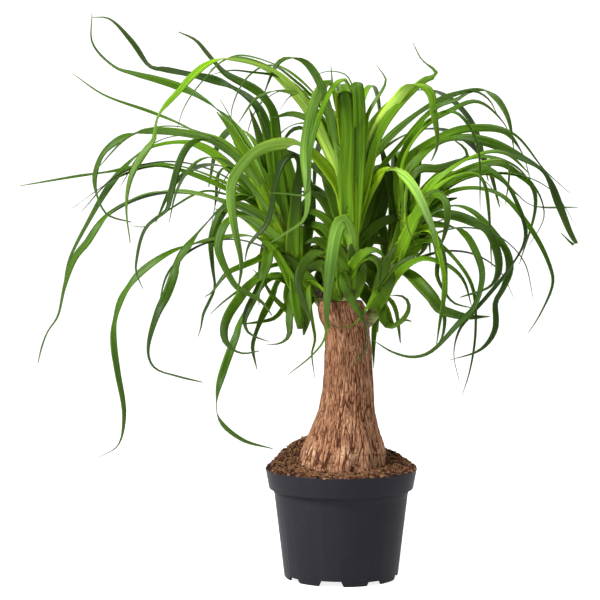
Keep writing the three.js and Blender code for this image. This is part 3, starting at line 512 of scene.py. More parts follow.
# A leaf: its width, the height of its foot on the stem, its age from 0, young and bright, to 1, old and
# dark, which on leaves that lie in the crown's shadow also holds painted shade, and its route to the tip.
# A point of a route is x and z as they show from the front, its turn in degrees, from 0 facing the viewer
# over 90 edge-on to 180 showing its back, and its depth behind the pot's axis. A point without a turn or
# a depth takes it from the points on both sides that state it.
routes = {
    "left": [
        [14, 390, 0.75, [[-83, 480, 20], [-89, 535, 15], [-95, 571, 25], [-106, 597, 50], [-122, 612, 60],
            [-140, 622, 85], [-160, 630, 20], [-185, 636, 60], [-220, 643, 30], [-240, 648, 80],
            [-264, 679, 40], [-292, 707, 60], [-313, 708, 60, 80]]],
        [13, 400, 0.5, [[-95, 500, 130], [-118, 545, 160], [-132, 568, 120], [-155, 592, 90],
            [-185, 613, 70], [-200, 620, 30], [-230, 630, 40], [-260, 638, 60], [-285, 647, 80],
            [-312, 676, 60], [-313, 713, 60, 50]]],
        [14, 420, 0.65, [[-78, 500, 15], [-83, 566, 20], [-86, 590, 40], [-97, 608, 60], [-107, 617, 20],
            [-145, 638, 50], [-158, 651, 80], [-170, 665, 50], [-183, 680, 50], [-205, 690, 60, 20]]],
        [6, 450, 0.5, [[-100, 500, 60], [-150, 547, 70], [-180, 563, 80], [-210, 578, 60], [-240, 590, 40],
            [-300, 612, 50], [-338, 638, 60, 60]]],
        [13, 440, 0.45, [[-110, 505, 150], [-130, 532, 160], [-150, 550, 150], [-180, 560, 140],
            [-225, 566, 130], [-255, 565, 120], [-275, 558, 45], [-300, 540, 70], [-310, 517, 50],
            [-312, 503, 40], [-310, 488, 80], [-297, 461, 70], [-265, 451, 60, -40]]],
        [12, 450, 0.5, [[-118, 495, 25], [-140, 520, 20], [-160, 537, 25], [-178, 547, 40],
            [-195, 552, 75], [-240, 546, 80], [-262, 532, 85], [-290, 501, 40], [-320, 452, 60],
            [-345, 402], [-352, 366, 60, 50]]],
        [11, 430, 0.45, [[-115, 463, 120], [-145, 476, 110], [-200, 490, 105], [-250, 486, 95],
            [-297, 459, 80], [-308, 446, 30], [-322, 425, 25], [-337, 407, 30], [-350, 372, 60],
            [-360, 332, 80], [-373, 312, 85], [-380, 293, 50], [-385, 272, 50, -20]]],
        [8, 445, 0.55, [[-120, 485, 60], [-170, 511, 70], [-200, 521, 85], [-225, 524, 80],
            [-255, 521, 35], [-300, 514, 80], [-330, 510, 60], [-406, 497, 60, 30]]],
        [8, 448, 0.5, [[-130, 484, 60], [-180, 509, 60], [-235, 522, 80], [-285, 507, 70], [-305, 494, 80],
            [-341, 468, 60, -10]]],
        [10, 450, 0.6, [[-120, 520, 150], [-150, 545, 130], [-175, 556, 90], [-190, 551, 30],
            [-202, 533, 30], [-210, 508, 20], [-216, 485, 40], [-221, 468, 80], [-248, 444, 60],
            [-259, 405], [-260, 388], [-251, 367, 60, -60]]],
        [7, 435, 0.55, [[-125, 510, 140], [-150, 530, 120], [-172, 533, 70], [-190, 521, 50],
            [-208, 491, 50], [-218, 450, 60, -70]]],
        [6, 448, 0.55, [[-125, 484, 110], [-145, 486, 70], [-172, 491, 80], [-215, 469, 70],
            [-248, 446, 70], [-266, 447, 60, 10]]],
        [11, 360, 0.48, [[-52, 362, 40, -8], [-62, 373, 25], [-71, 390, 30], [-82, 410, 40],
            [-96, 426, 70], [-116, 434, 110], [-138, 433, 110], [-165, 429, 100], [-215, 414, 70],
            [-255, 387, 30], [-270, 369, 80], [-279, 354, 30], [-287, 328, 75], [-289, 312, 40],
            [-288, 290, 10], [-284, 262, 5], [-276, 205, 20], [-285, 167, 80], [-312, 151, 70, -45]]],
        [13, 430, 0.6, [[-115, 465, 140], [-140, 474, 120], [-159, 462, 95], [-187, 430, 80],
            [-199, 414, 20], [-208, 402, 75], [-211, 388, 20], [-221, 360, 10], [-234, 334, 75],
            [-246, 285, 70], [-238, 266, 60], [-210, 256], [-176, 248, 60, -80]]],
        [14, 400, 0.9, [[-60, 450, 15, -6], [-57, 490, 20], [-53, 532, 60], [-62, 538, 90], [-73, 530, 50],
            [-81, 512, 60], [-90, 465], [-97, 446, 60], [-108, 434, 50], [-118, 422, 50],
            [-122, 403, 60, -45]]],
        [13, 400, 0.5, [[-60, 370, 30, -14], [-56, 340, 20], [-51, 320, 20, -30], [-50, 313, 90, -27],
            [-52, 322, 160, -24], [-54, 338, 160, -22]]],
        [9, 385, 0.6, [[-68, 360, 60, -10], [-65, 345, 45], [-66, 325, 15], [-66, 312, 30], [-72, 302, 60],
            [-84, 297, 60], [-97, 297, 70, -40]]],
        [12, 410, 0.65, [[-84, 424, 60], [-92, 412, 50], [-94, 399, 10], [-99, 384, 45], [-104, 370, 60],
            [-110, 357, 30], [-118, 342, 20], [-124, 326, 60], [-120, 312, 80], [-108, 305, 60],
            [-92, 300, 60, -60]]],
        [13, 390, 0.6, [[-80, 380, 90], [-105, 380, 65], [-119, 369, 50], [-130, 354, 20], [-143, 334, 12],
            [-149, 316, 10], [-147, 299, 25], [-138, 289, 80], [-125, 284, 70], [-104, 288, 60, -85]]],
        [11, 375, 0.48, [[-62, 371, 60], [-85, 383], [-98, 374, 60], [-112, 350, 70], [-127, 328, 75],
            [-133, 308, 40], [-140, 290, 25], [-150, 262, 15], [-158, 232, 80], [-158, 206, 80],
            [-153, 196, 15], [-125, 174, 20], [-87, 163, 70, -88]]],
        [12, 415, 0.5, [[-110, 452, 120], [-135, 460, 90], [-149, 446, 50], [-156, 420, 20],
            [-151, 402, 35], [-143, 385, 40], [-134, 370, 25], [-121, 362, 30], [-109, 356, 30],
            [-98, 347, 50], [-88, 333, 60, -70]]],
        [8, 410, 0.5, [[-90, 414, 90], [-105, 404, 60], [-125, 396, 30], [-145, 387, 50], [-165, 362, 80],
            [-173, 357, 60, -35]]],
        [8, 448, 0.6, [[-110, 480, 90], [-130, 487, 80], [-150, 470, 60], [-160, 450, 60], [-165, 430, 30],
            [-163, 395, 40], [-161, 368, 60], [-168, 350, 40], [-175, 335, 20], [-178, 318, 30],
            [-182, 306, 60, -15]]],
        [6, 372, 0.6, [[-68, 348, 60, -12], [-85, 330, 50], [-105, 325], [-130, 322, 50, -30]]],
        [6, 356, 0.6, [[-48, 342, 50, -4], [-62, 336, 50], [-76, 346, 40], [-90, 362, 40], [-100, 379, 60],
            [-112, 392, 60, -30]]],
        [5, 398, 0.5, [[-95, 392, 60], [-120, 372], [-150, 350], [-167, 334, 60, -15]]],
        [9, 388, 0.5, [[-78, 376, 70], [-86, 358, 60], [-93, 345, 25], [-100, 332, 30], [-105, 320, 75],
            [-110, 307, 60], [-113, 293, 30], [-107, 264, 60, -45]]],
        [11, 445, 0.8, [[-110, 478, 90], [-130, 482, 60], [-145, 470, 30], [-158, 445, 20],
            [-162, 420, 30, 25]]],
        [8, 450, 0.75, [[-125, 512, 100], [-145, 522, 80], [-155, 515, 30], [-158, 490, 20],
            [-160, 470, 40, 30]]],
        [4, 455, 0.5, [[-105, 530, 60], [-122, 553], [-154, 608, 60, 0]]],
        [16, 395, 0.2, [[-92, 460, 20], [-115, 522, 15], [-129, 550, 15], [-142, 572, 20],
            [-157, 590, 50, -12]]],
        [16, 395, 0.6, [[-84, 470, 20], [-93, 520, 15], [-101, 550, 15], [-109, 576, 25],
            [-116, 594, 50, 40]]],
        [5, 375, 0.4, [[-34, 376, 60, -14], [-20, 360, 60, -36], [-19, 330, 60, -44], [-22, 303],
            [-37, 283], [-70, 256, 60, -48]]],
        [5, 372, 0.4, [[-46, 366, 60, -2], [-42, 348], [-36, 319], [-33, 303], [-37, 286],
            [-33, 250, 60, -20]]],
        [15, 398, 0.4, [[-72, 450, 20], [-85, 510, 20], [-95, 560, 30], [-104, 590, 60, 25]]],
        [15, 405, 0.3, [[-90, 455, 20], [-106, 500, 15], [-122, 532, 25], [-136, 552, 60, 30]]],
        [15, 400, 0.45, [[-80, 440, 30], [-105, 485, 25], [-125, 505, 40], [-150, 520, 60, 5]]],
        [14, 395, 0.7, [[-66, 440, 15], [-74, 500, 20], [-72, 530, 30], [-70, 548, 60, 40]]],
        [16, 392, 0.4, [[-58, 440, 20], [-62, 500, 15], [-72, 540, 20], [-82, 572, 60, 35]]],
        [14, 390, 0.25, [[-80, 415, 30], [-110, 450, 20], [-130, 463, 50], [-160, 468, 70, 20]]],
        [13, 388, 0.85, [[-45, 425, 20], [-38, 470, 20], [-42, 505, 40], [-55, 530, 60, 60]]],
        [16, 352, 0.8, [[-36, 368, 20, 0], [-50, 386], [-62, 402, 20], [-76, 412, 50, -4]]],
        [15, 348, 0.9, [[-28, 360, 20, 2], [-40, 366, 20], [-54, 356, 30], [-60, 338, 50, -10]]],
        [12, 372, 0.85, [[-46, 366, 30, -4], [-44, 345, 20], [-45, 325, 20], [-48, 308, 60, -22]]],
    ],
    "middle": [
        [20, 400, 0.45, [[6, 500, 10, -13], [8, 570, 10, -17], [5, 604, 10, -14], [2, 618, 12, -8],
            [5, 604, 170, 7], [8, 530, 160, 16]]],
        [19, 410, 0.48, [[21, 520, 10, -12], [21, 606, 10, -15], [18, 629, 15, -6], [17, 612, 165, 9],
            [14, 540, 155, 18]]],
        [18, 405, 0.22, [[12, 500, 10, -8], [12, 580, 10, -8], [13, 618, 30, -2]]],
        [10, 500, 0.4, [[12, 560, 150, -4], [10, 618, 130, -7], [5, 632, 90, -12], [-8, 624, 50, -26],
            [-28, 585, 40], [-40, 540, 50], [-42, 500, 60], [-47, 487, 85], [-75, 488, 85],
            [-105, 487, 80], [-120, 480, 70, -120]]],
        [15, 495, 0.22, [[2, 560, 30, -4], [-6, 612, 60, -8], [-15, 627, 120, -14], [-26, 618, 160, -26],
            [-35, 599, 165], [-46, 545, 150], [-44, 505, 50], [-42, 478, 40], [-47, 453, 60], [-66, 440],
            [-92, 424, 60, -95]]],
        [13, 440, 0.5, [[-2, 500, 150, 4], [-10, 560, 150, 1], [-25, 620, 145], [-36, 642, 150],
            [-48, 655, 120], [-60, 658, 100], [-72, 658, 60], [-82, 650, 60], [-97, 615, 80],
            [-104, 596, 70, -60]]],
        [15, 430, 0.2, [[-5, 510, 150, 6], [-25, 560, 150, 2], [-40, 590, 160], [-56, 611, 150],
            [-88, 641, 130], [-125, 654, 105], [-160, 655, 80], [-190, 633, 60], [-203, 618, 50],
            [-220, 600, 40], [-232, 585, 80], [-238, 555, 80], [-248, 540, 40], [-266, 508, 45],
            [-272, 470, 60], [-267, 425, 60, -150]]],
        [6, 520, 0.4, [[-25, 600, 80, 8], [-62, 638, 60], [-85, 650, 80], [-130, 661, 60], [-158, 648],
            [-167, 640, 60, -30]]],
        [6, 510, 0.5, [[-15, 565, 60, 9], [-40, 605, 60, 0], [-75, 633], [-115, 640, 60], [-140, 642, 50],
            [-165, 636, 60, -90]]],
        [8, 505, 0.4, [[-20, 575, 120, 10], [-40, 600, 120, 0], [-60, 613, 120], [-80, 617, 90],
            [-97, 613, 60], [-110, 605, 40], [-130, 576, 60, -110]]],
        [5, 525, 0.5, [[-30, 600, 60, 6], [-60, 630], [-90, 649], [-120, 632], [-139, 590],
            [-137, 570, 60, -40]]],
        [5, 515, 0.5, [[-40, 602, 60, 6], [-100, 650], [-143, 657], [-172, 632], [-197, 598],
            [-207, 570, 60, -75]]],
        [4, 530, 0.4, [[16, 600, 60], [12, 627], [5, 637], [-17, 641], [-38, 634, 60, -40]]],
        [5, 530, 0.4, [[-8, 600, 60], [-14, 652, 60, 12]]],
        [5, 500, 0.5, [[-30, 588, 60, 8], [-50, 610], [-62, 612], [-80, 590, 60, -45]]],
        [16, 410, 0.2, [[-2, 490, 40, 8], [-20, 520, 30, 2], [-46, 545, 50, -16], [-64, 550, 140],
            [-85, 549, 160], [-108, 540], [-125, 523, 160], [-138, 503, 155], [-140, 484, 150],
            [-136, 448, 145], [-128, 408, 150], [-127, 392, 145], [-131, 365, 130, -150]]],
        [10, 425, 0.85, [[-25, 488, 40], [-50, 500, 30], [-78, 505, 50], [-100, 495, 60],
            [-118, 470, 60, 95]]],
        [10, 405, 0.75, [[-20, 455, 40, 12], [-45, 465, 40], [-66, 452, 60], [-80, 420, 60, 75]]],
        [10, 390, 0.7, [[-18, 440, 40, 12], [-42, 448, 30], [-58, 436, 60], [-66, 410, 60, 62]]],
        [18, 385, 0.35, [[12, 430, 150, -14], [6, 449, 160, -24], [2, 454, 160, -31], [-5, 443, 20, -38],
            [-13, 400, 15], [-18, 345, 20], [-18, 330, 30], [-15, 316, 40, -62]]],
        [13, 375, 0.8, [[-10, 408, 120, -28], [-30, 414, 60], [-45, 402, 25], [-55, 378, 20],
            [-48, 350, 25], [-36, 322, 40, -75]]],
        [10, 368, 0.7, [[2, 382, 110, -22], [8, 364, 40, -40], [22, 338, 40], [28, 326, 60], [33, 300, 65],
            [29, 288, 60], [17, 272, 60, -66]]],
        [9, 380, 0.4, [[20, 405, 30], [33, 415, 30], [45, 417, 60], [60, 400, 60, -45]]],
        [9, 384, 0.8, [[25, 403, 60], [40, 408, 60], [48, 398, 30], [48, 372, 60, -52]]],
        [7, 480, 0.4, [[30, 560, 40], [32, 585, 50], [52, 620, 40], [55, 630, 50], [43, 649, 60, -10]]],
        [15, 430, 0.12, [[25, 500, 150, 4], [40, 560, 165, 2], [56, 588, 165], [70, 606, 160],
            [84, 622, 140], [100, 625, 60], [112, 614, 20], [116, 590, 30], [121, 548, 50],
            [113, 528, 60, -45]]],
        [12, 440, 0.35, [[28, 490, 20, 2], [44, 555, 15, -6], [64, 590, 15], [100, 627, 20, -22],
            [117, 638, 40, -24], [109, 647, 75], [99, 656, 60], [89, 677, 60, -12]]],
        [13, 455, 0.45, [[26, 500, 105, 8], [45, 540, 110, 5], [70, 567, 110, 0], [115, 601, 115, -14],
            [165, 618, 110], [180, 618, 100], [193, 609, 30], [203, 596, 15], [211, 578, 30],
            [217, 543, 60, -115]]],
        [9, 460, 0.55, [[45, 512, 60, 8], [75, 550, 50, 4], [120, 597], [145, 606, 50], [165, 617, 60],
            [185, 606], [195, 588, 60, -70]]],
        [15, 410, 0.2, [[22, 450, 50, 8], [40, 500, 55, 4], [60, 517, 80], [76, 512, 140], [93, 492, 165],
            [106, 465, 165], [117, 437, 140], [121, 403, 60, -130]]],
        [15, 398, 0.9, [[30, 432, 60], [45, 447, 50], [65, 457, 40], [85, 460, 40], [105, 452, 60, 25]]],
        [18, 392, 0.85, [[25, 430, 40], [40, 465, 20], [52, 500, 20], [58, 530, 50, 55]]],
        [17, 390, 0.95, [[20, 410, 40], [35, 430, 30], [50, 428, 20], [62, 418, 60, 30]]],
        [16, 394, 0.95, [[28, 440, 30], [45, 475, 25], [62, 490, 40], [78, 480, 60, 70]]],
        [15, 420, 0.5, [[18, 480, 20], [34, 530, 20], [42, 565, 40], [46, 590, 60, 40]]],
        [16, 400, 0.75, [[2, 440, 20], [-14, 490, 20], [-26, 525, 30], [-42, 545, 50, 45]]],
        [16, 396, 0.8, [[5, 430, 30], [-14, 465, 20], [-32, 487, 30], [-52, 490, 60, 40]]],
        [16, 388, 0.55, [[0, 415, 30], [-22, 438, 20], [-42, 452, 20], [-58, 448, 60, 45]]],
        [16, 384, 0.7, [[-4, 400, 40], [-20, 414, 30], [-34, 420, 40], [-52, 405, 60, 30]]],
        [15, 410, 0.3, [[2, 470, 20], [-8, 540, 20], [-16, 590, 30], [-28, 618, 60, 30]]],
        [15, 430, 0.15, [[8, 500, 20], [-2, 560, 15], [-4, 600, 30], [-10, 622, 60, 20]]],
        [14, 440, 0.2, [[22, 500, 20], [36, 548, 25], [50, 575, 50], [60, 588, 60, 30]]],
        [14, 376, 0.8, [[10, 392, 60], [30, 400, 30], [44, 392, 30], [55, 372, 50, 25]]],
        [12, 380, 0.85, [[-2, 392, 60], [-14, 396, 40], [-26, 388, 30], [-36, 362, 50, 20]]],
        [18, 376, 0.95, [[-2, 374, 20, 18], [-12, 366, 20, 22], [-22, 350, 30, 26], [-26, 330, 50, 40]]],
        [18, 374, 0.95, [[16, 374, 20, 18], [26, 366, 20, 22], [38, 350, 30, 28], [46, 326, 50, 44]]],
        [17, 372, 0.9, [[8, 378, 20, 22], [4, 366, 20, 28], [0, 350, 30, 34], [-2, 330, 50, 44]]],
        [16, 378, 0.9, [[-6, 386, 20, 12], [-22, 384, 20, 16], [-34, 368, 30], [-38, 348, 50, 30]]],
        [16, 380, 0.9, [[20, 388, 20, 12], [34, 384, 20, 16], [44, 366, 30], [48, 346, 50, 34]]],
        [12, 470, 0.3, [[-10, 540, 150, 10], [-32, 575, 150], [-50, 585, 160], [-66, 588, 160],
            [-82, 584, 100], [-96, 583, 60, 5]]],
        [9, 470, 0.5, [[-14, 530, 60, 14], [-36, 562, 60], [-50, 571, 150], [-62, 568, 150],
            [-72, 556, 140], [-79, 540, 120, 0]]],
        [18, 388, 0.95, [[30, 420, 20, 20], [44, 450, 15], [54, 475, 20], [60, 500, 50, 50]]],
        [16, 396, 0.9, [[24, 440, 20, 24], [34, 470, 15], [40, 492, 20], [44, 515, 50, 46]]],
        [16, 384, 0.85, [[0, 400, 40, 10], [-16, 412, 30], [-34, 414, 30], [-54, 400, 50, 20]]],
        [13, 352, 0.6, [[2, 370, 10, -10], [0, 392, 15, -14], [4, 420, 30, -10]]],
        [14, 352, 0.85, [[-8, 362, 10, -6], [-16, 378, 20, -6], [-24, 398, 40, 0]]],
        [14, 352, 0.85, [[15, 362, 10, -6], [23, 378, 20, -6], [30, 400, 40, 0]]],
        [16, 376, 0.75, [[-12, 386, 20, 6], [-24, 396, 15], [-36, 396, 20], [-48, 382, 50, 10]]],
        [14, 394, 0.6, [[-8, 410, 20, 8], [-22, 424, 15], [-34, 430, 30], [-46, 424, 50, 14]]],
        [14, 384, 0.9, [[0, 400, 30, 24], [-18, 404, 15], [-34, 402, 20], [-44, 392, 50, 40]]],
        [13, 360, 0.75, [[9, 378, 10, -8], [13, 398, 10, -14], [12, 424, 30, -20]]],
        [13, 372, 0.7, [[6, 392, 15, -10], [0, 412, 20, -14], [-8, 432, 40, -12]]],
    ],
    "right": [
        [15, 385, 0.85, [[70, 460, 20], [62, 500, 20], [53, 535, 40], [46, 562, 60, 45]]],
        [14, 390, 0.55, [[79, 460, 20], [82, 500, 20], [88, 528, 30], [96, 545, 50, 25]]],
        [15, 395, 0.35, [[88, 445, 25], [104, 478, 20], [118, 492, 50], [136, 484, 70, -40]]],
        [10, 446, 0.5, [[70, 505, 40], [78, 538, 25], [93, 562, 25], [112, 579, 35], [135, 591, 50],
            [165, 604, 50], [180, 600, 60], [205, 575], [210, 565, 60, 70]]],
        [13, 448, 0.5, [[76, 505, 30], [86, 532, 20], [100, 543, 25], [125, 558, 40], [150, 568],
            [195, 569, 40], [209, 564, 50], [228, 538, 80], [238, 505, 60, 35]]],
        [15, 450, 0.6, [[80, 500, 50], [98, 532, 45], [111, 543, 50], [140, 557, 65], [185, 552, 55],
            [230, 531, 60], [256, 515, 65], [275, 472, 15], [288, 440, 10], [297, 422, 30], [290, 426, 60],
            [277, 438, 70, -10]]],
        [5, 452, 0.5, [[82, 520, 60], [110, 552], [150, 570], [190, 573], [220, 560], [256, 517],
            [290, 486, 60, 95]]],
        [11, 446, 0.95, [[84, 495, 60], [97, 518, 20], [120, 519, 20], [140, 525, 30], [157, 535, 60],
            [152, 546, 50], [139, 556, 60, -20]]],
        [9, 448, 0.4, [[115, 500, 40], [140, 520, 40], [160, 532, 50], [190, 541, 60], [210, 537],
            [237, 512, 60, -35]]],
        [10, 446, 0.5, [[100, 463, 60], [130, 497, 30], [155, 512, 30], [190, 513, 60], [220, 488, 70],
            [240, 473, 80], [298, 470, 60, 20]]],
        [8, 442, 0.5, [[120, 480, 60], [150, 493], [180, 493], [205, 483, 60], [243, 437, 35],
            [264, 395, 50], [268, 375, 60], [252, 335], [237, 311, 60, -50]]],
        [7, 448, 0.45, [[120, 495, 60], [150, 512], [172, 513, 60], [181, 498, 50], [186, 465, 50],
            [190, 395, 60, -60]]],
        [6, 452, 0.5, [[76, 520, 60], [96, 562], [122, 588], [143, 590, 60], [160, 573, 50],
            [172, 545, 60], [175, 466, 60, -40]]],
        [6, 450, 0.35, [[130, 505, 60], [190, 530, 60], [210, 526, 50], [211, 505, 50],
            [206, 471, 60, -20]]],
        [9, 449, 0.45, [[140, 510, 60], [200, 525, 50], [225, 510, 30], [241, 497, 50], [245, 470, 60],
            [225, 398, 60, 30]]],
        [4, 447, 0.5, [[150, 503, 60], [210, 512], [240, 500], [256, 460], [236, 420, 60, 10]]],
        [8, 444, 0.65, [[130, 500, 60], [180, 520], [205, 503], [220, 478, 60], [233, 433, 50],
            [212, 392, 60], [185, 358, 50], [165, 335, 30], [150, 315, 50], [143, 285, 80],
            [150, 248, 60, -70]]],
        [13, 430, 0.75, [[105, 456, 90], [140, 460, 30], [165, 452, 20], [183, 443, 40], [193, 425, 40],
            [199, 403, 20], [198, 384, 30], [190, 370, 80], [150, 356, 60, -90]]],
        [12, 432, 0.6, [[110, 458, 90], [140, 472, 90], [165, 465, 60], [200, 428, 60], [210, 412, 40],
            [213, 392, 20], [206, 370, 60], [196, 350, 60], [195, 315, 30], [178, 290, 60],
            [137, 276, 60, -40]]],
        [10, 420, 0.6, [[105, 448, 120], [135, 447, 120], [155, 437, 40], [168, 418], [178, 385, 40],
            [168, 345, 60], [150, 325, 40], [112, 287, 60], [90, 281], [65, 287], [40, 302, 60, -95]]],
        [6, 410, 0.6, [[100, 427, 60], [120, 425], [155, 390, 60], [167, 365, 50], [170, 310, 50],
            [163, 262, 60], [153, 230, 60, -80]]],
        [10, 352, 0.5, [[65, 377, 50, -12], [88, 400, 50], [105, 406, 70], [122, 402, 60], [140, 394],
            [155, 378], [165, 345, 60, -60]]],
        [4, 356, 0.35, [[44, 362, 60, -16], [34, 346, 60, -38], [22, 328, 60, -47], [8, 319],
            [-17, 319, 60, -50]]],
        [16, 385, 0.75, [[81, 386, 60, -12], [92, 379, 20], [104, 368, 10], [115, 356, 15], [124, 343, 50],
            [140, 336, 40], [160, 332, 50], [188, 332, 60, -70]]],
        [12, 440, 0.5, [[105, 470, 60], [120, 487, 60], [131, 480, 20], [134, 458, 20], [130, 435, 30],
            [124, 418, 50, -100]]],
        [8, 425, 0.3, [[100, 443, 60], [114, 441, 40], [121, 422], [127, 400, 40], [131, 376, 30],
            [129, 350], [125, 325, 30], [120, 291, 60, -85]]],
        [7, 420, 0.6, [[104, 446, 60], [116, 428, 60], [122, 405, 50], [121, 385, 50], [129, 366, 70],
            [142, 350, 50], [156, 345, 50], [173, 342, 60, -50]]],
        [8, 420, 0.5, [[108, 440, 60], [122, 412], [129, 385], [129, 352, 60], [131, 325, 20],
            [128, 306, 30], [120, 292, 60, -35]]],
        [7, 350, 0.85, [[52, 328, 40, -14], [60, 320], [70, 322, 40], [80, 331, 45], [85, 343, 50],
            [82, 353, 50], [74, 358, 60], [62, 358, 60, -38]]],
        [5, 352, 0.85, [[58, 335, 50, 2], [66, 321, 40], [80, 328, 60], [89, 326, 60, -14]]],
        [5, 358, 0.8, [[66, 345, 60, 0], [72, 320], [75, 298, 60, -8]]],
        [6, 350, 0.5, [[50, 342, 40, 26], [44, 325], [41, 300, 40], [41, 266, 60, 34]]],
        [16, 382, 0.85, [[66, 430, 20], [66, 470, 20], [62, 505, 25], [52, 540, 50, 60]]],
        [16, 384, 0.65, [[72, 430, 20], [74, 470, 20], [72, 505, 25], [66, 540, 50, 50]]],
        [16, 388, 0.6, [[80, 430, 20], [88, 475, 20], [95, 510, 30], [100, 545, 60, 45]]],
        [16, 392, 0.45, [[90, 436, 20], [104, 460, 20], [122, 476, 40], [146, 482, 60, 20]]],
        [15, 380, 0.4, [[78, 410, 30], [98, 440, 20], [112, 462, 30], [135, 478, 60, 30]]],
        [14, 376, 0.35, [[74, 400, 30], [96, 422, 20], [108, 440, 30], [112, 460, 60, 0]]],
        [15, 378, 0.95, [[58, 400, 30], [54, 430, 20], [48, 455, 30], [36, 478, 60, 50]]],
        [4, 440, 0.2, [[82, 500, 60], [80, 468], [85, 440], [97, 418, 60, -40]]],
        [8, 425, 0.8, [[100, 446, 30, 20], [107, 432, 20], [106, 420, 40], [100, 411, 60],
            [92, 404, 60, -8]]],
        [16, 336, 0.6, [[48, 352, 20, 0], [62, 376], [80, 402, 20], [98, 412, 50, -20]]],
        [15, 334, 0.7, [[44, 346, 20, 2], [54, 360], [62, 374, 20], [66, 388, 50, -16]]],
        [15, 340, 0.9, [[50, 362, 20, 18], [62, 380, 20], [72, 398, 40], [84, 412, 60, 30]]],
        [14, 338, 0.75, [[46, 356, 20, -2], [50, 380], [58, 404, 20], [70, 424, 50, -12]]],
    ],
}
row_step = 7
blade_places = np.array([-1, -0.66, -0.33, 0, 0.33, 0.66, 1])
blade_thickness = 0.55
keel_depth = 0.5
channel = 0.3
recurve = 0.5
flattening = 7
thread = 0.65
foot_channel = 0.75
tip_narrowing = 0.88
tip_curve = 4.2
side_droop = 1.4
keel_width = 0.2
thin_below = 3
clasped_length = 18
clasped_share = 0.4
tip_share = 0.03
most_flattened = 0.6
side_arch = 0.08
# Where the darker olive toward a leaf's tip begins, and how strong it gets.
tip_dark_from = 0.55
tip_darkness = 0.8
foot_paleness = 55
age_spread = 1.3
# Painted shade: how much darker a leaf is drawn toward its tip and where its blade hangs down.
tipward_shade = 0.44
hanging_shade = 0.16
foot_width = 19
foot_length = 58
face_hold = 0.7
twist = 40
twist_span = 75
golden_part = 0.618034


def unit(vectors):
    """Vectors of length one."""
    return vectors / np.maximum(np.linalg.norm(vectors, axis=-1, keepdims=True), 1e-9)


def smooth_line(points, spacing=row_step):
    """Even points on the smooth curve through the given ones, and how many of them each lies beyond."""
    points = np.array(points, dtype=float)
    ends = np.concatenate([[2 * points[0] - points[1]], points, [2 * points[-1] - points[-2]]])
    fine = []
    beyond = []
    for span in range(len(points) - 1):
        before, start, end, after = ends[span:span + 4]
        gaps = [max(math.sqrt(np.linalg.norm(two - one)), 0.01)
                for one, two in ((before, start), (start, end), (end, after))]
        leave = (start - before) / gaps[0] - (end - before) / (gaps[0] + gaps[1]) + (end - start) / gaps[1]
        arrive = (end - start) / gaps[1] - (after - start) / (gaps[1] + gaps[2]) + (after - end) / gaps[2]
        leave = leave * gaps[1]
        arrive = arrive * gaps[1]
        for share in np.arange(24) / 24:
            fine.append(start + leave * share + (3 * (end - start) - 2 * leave - arrive) * share ** 2
                        + (2 * (start - end) + leave + arrive) * share ** 3)
            beyond.append(span + share)
    fine = np.array(fine + [points[-1]])
    beyond = np.array(beyond + [len(points) - 1])
    run = np.concatenate([[0], np.cumsum(np.linalg.norm(np.diff(fine, axis=0), axis=1))])
    even = np.linspace(0, run[-1], max(int(run[-1] / spacing), 8) + 1)
    line = np.stack([np.interp(even, run, fine[:, axis]) for axis in range(3)], axis=1)
    return line, np.interp(even, run, beyond), even


def along_line(line):
    """The direction of a line at each of its points."""
    return unit(np.gradient(line, axis=0))


def stem_at(stem, height):
    """The point of a stem's line at a height."""
    line = np.array(stem["line"], dtype=float)
    return np.array([np.interp(height, line[:, 2], line[:, axis]) for axis in range(3)])


def stated(places, values, easing=lambda share: share):
    """Values at every place, filled in between those that are stated."""
    known = [(place, value) for place, value in zip(places, values) if value is not None]
    filled = []
    for place in places:
        after = next((index for index, pair in enumerate(known) if pair[0] >= place), len(known))
        if after == 0 or after == len(known):
            filled.append(known[0][1] if after == 0 else known[-1][1])
            continue
        (from_place, from_value), (to_place, to_value) = known[after - 1:after + 1]
        share = (place - from_place) / (to_place - from_place)
        filled.append(from_value + (to_value - from_value) * easing(share))
    return filled


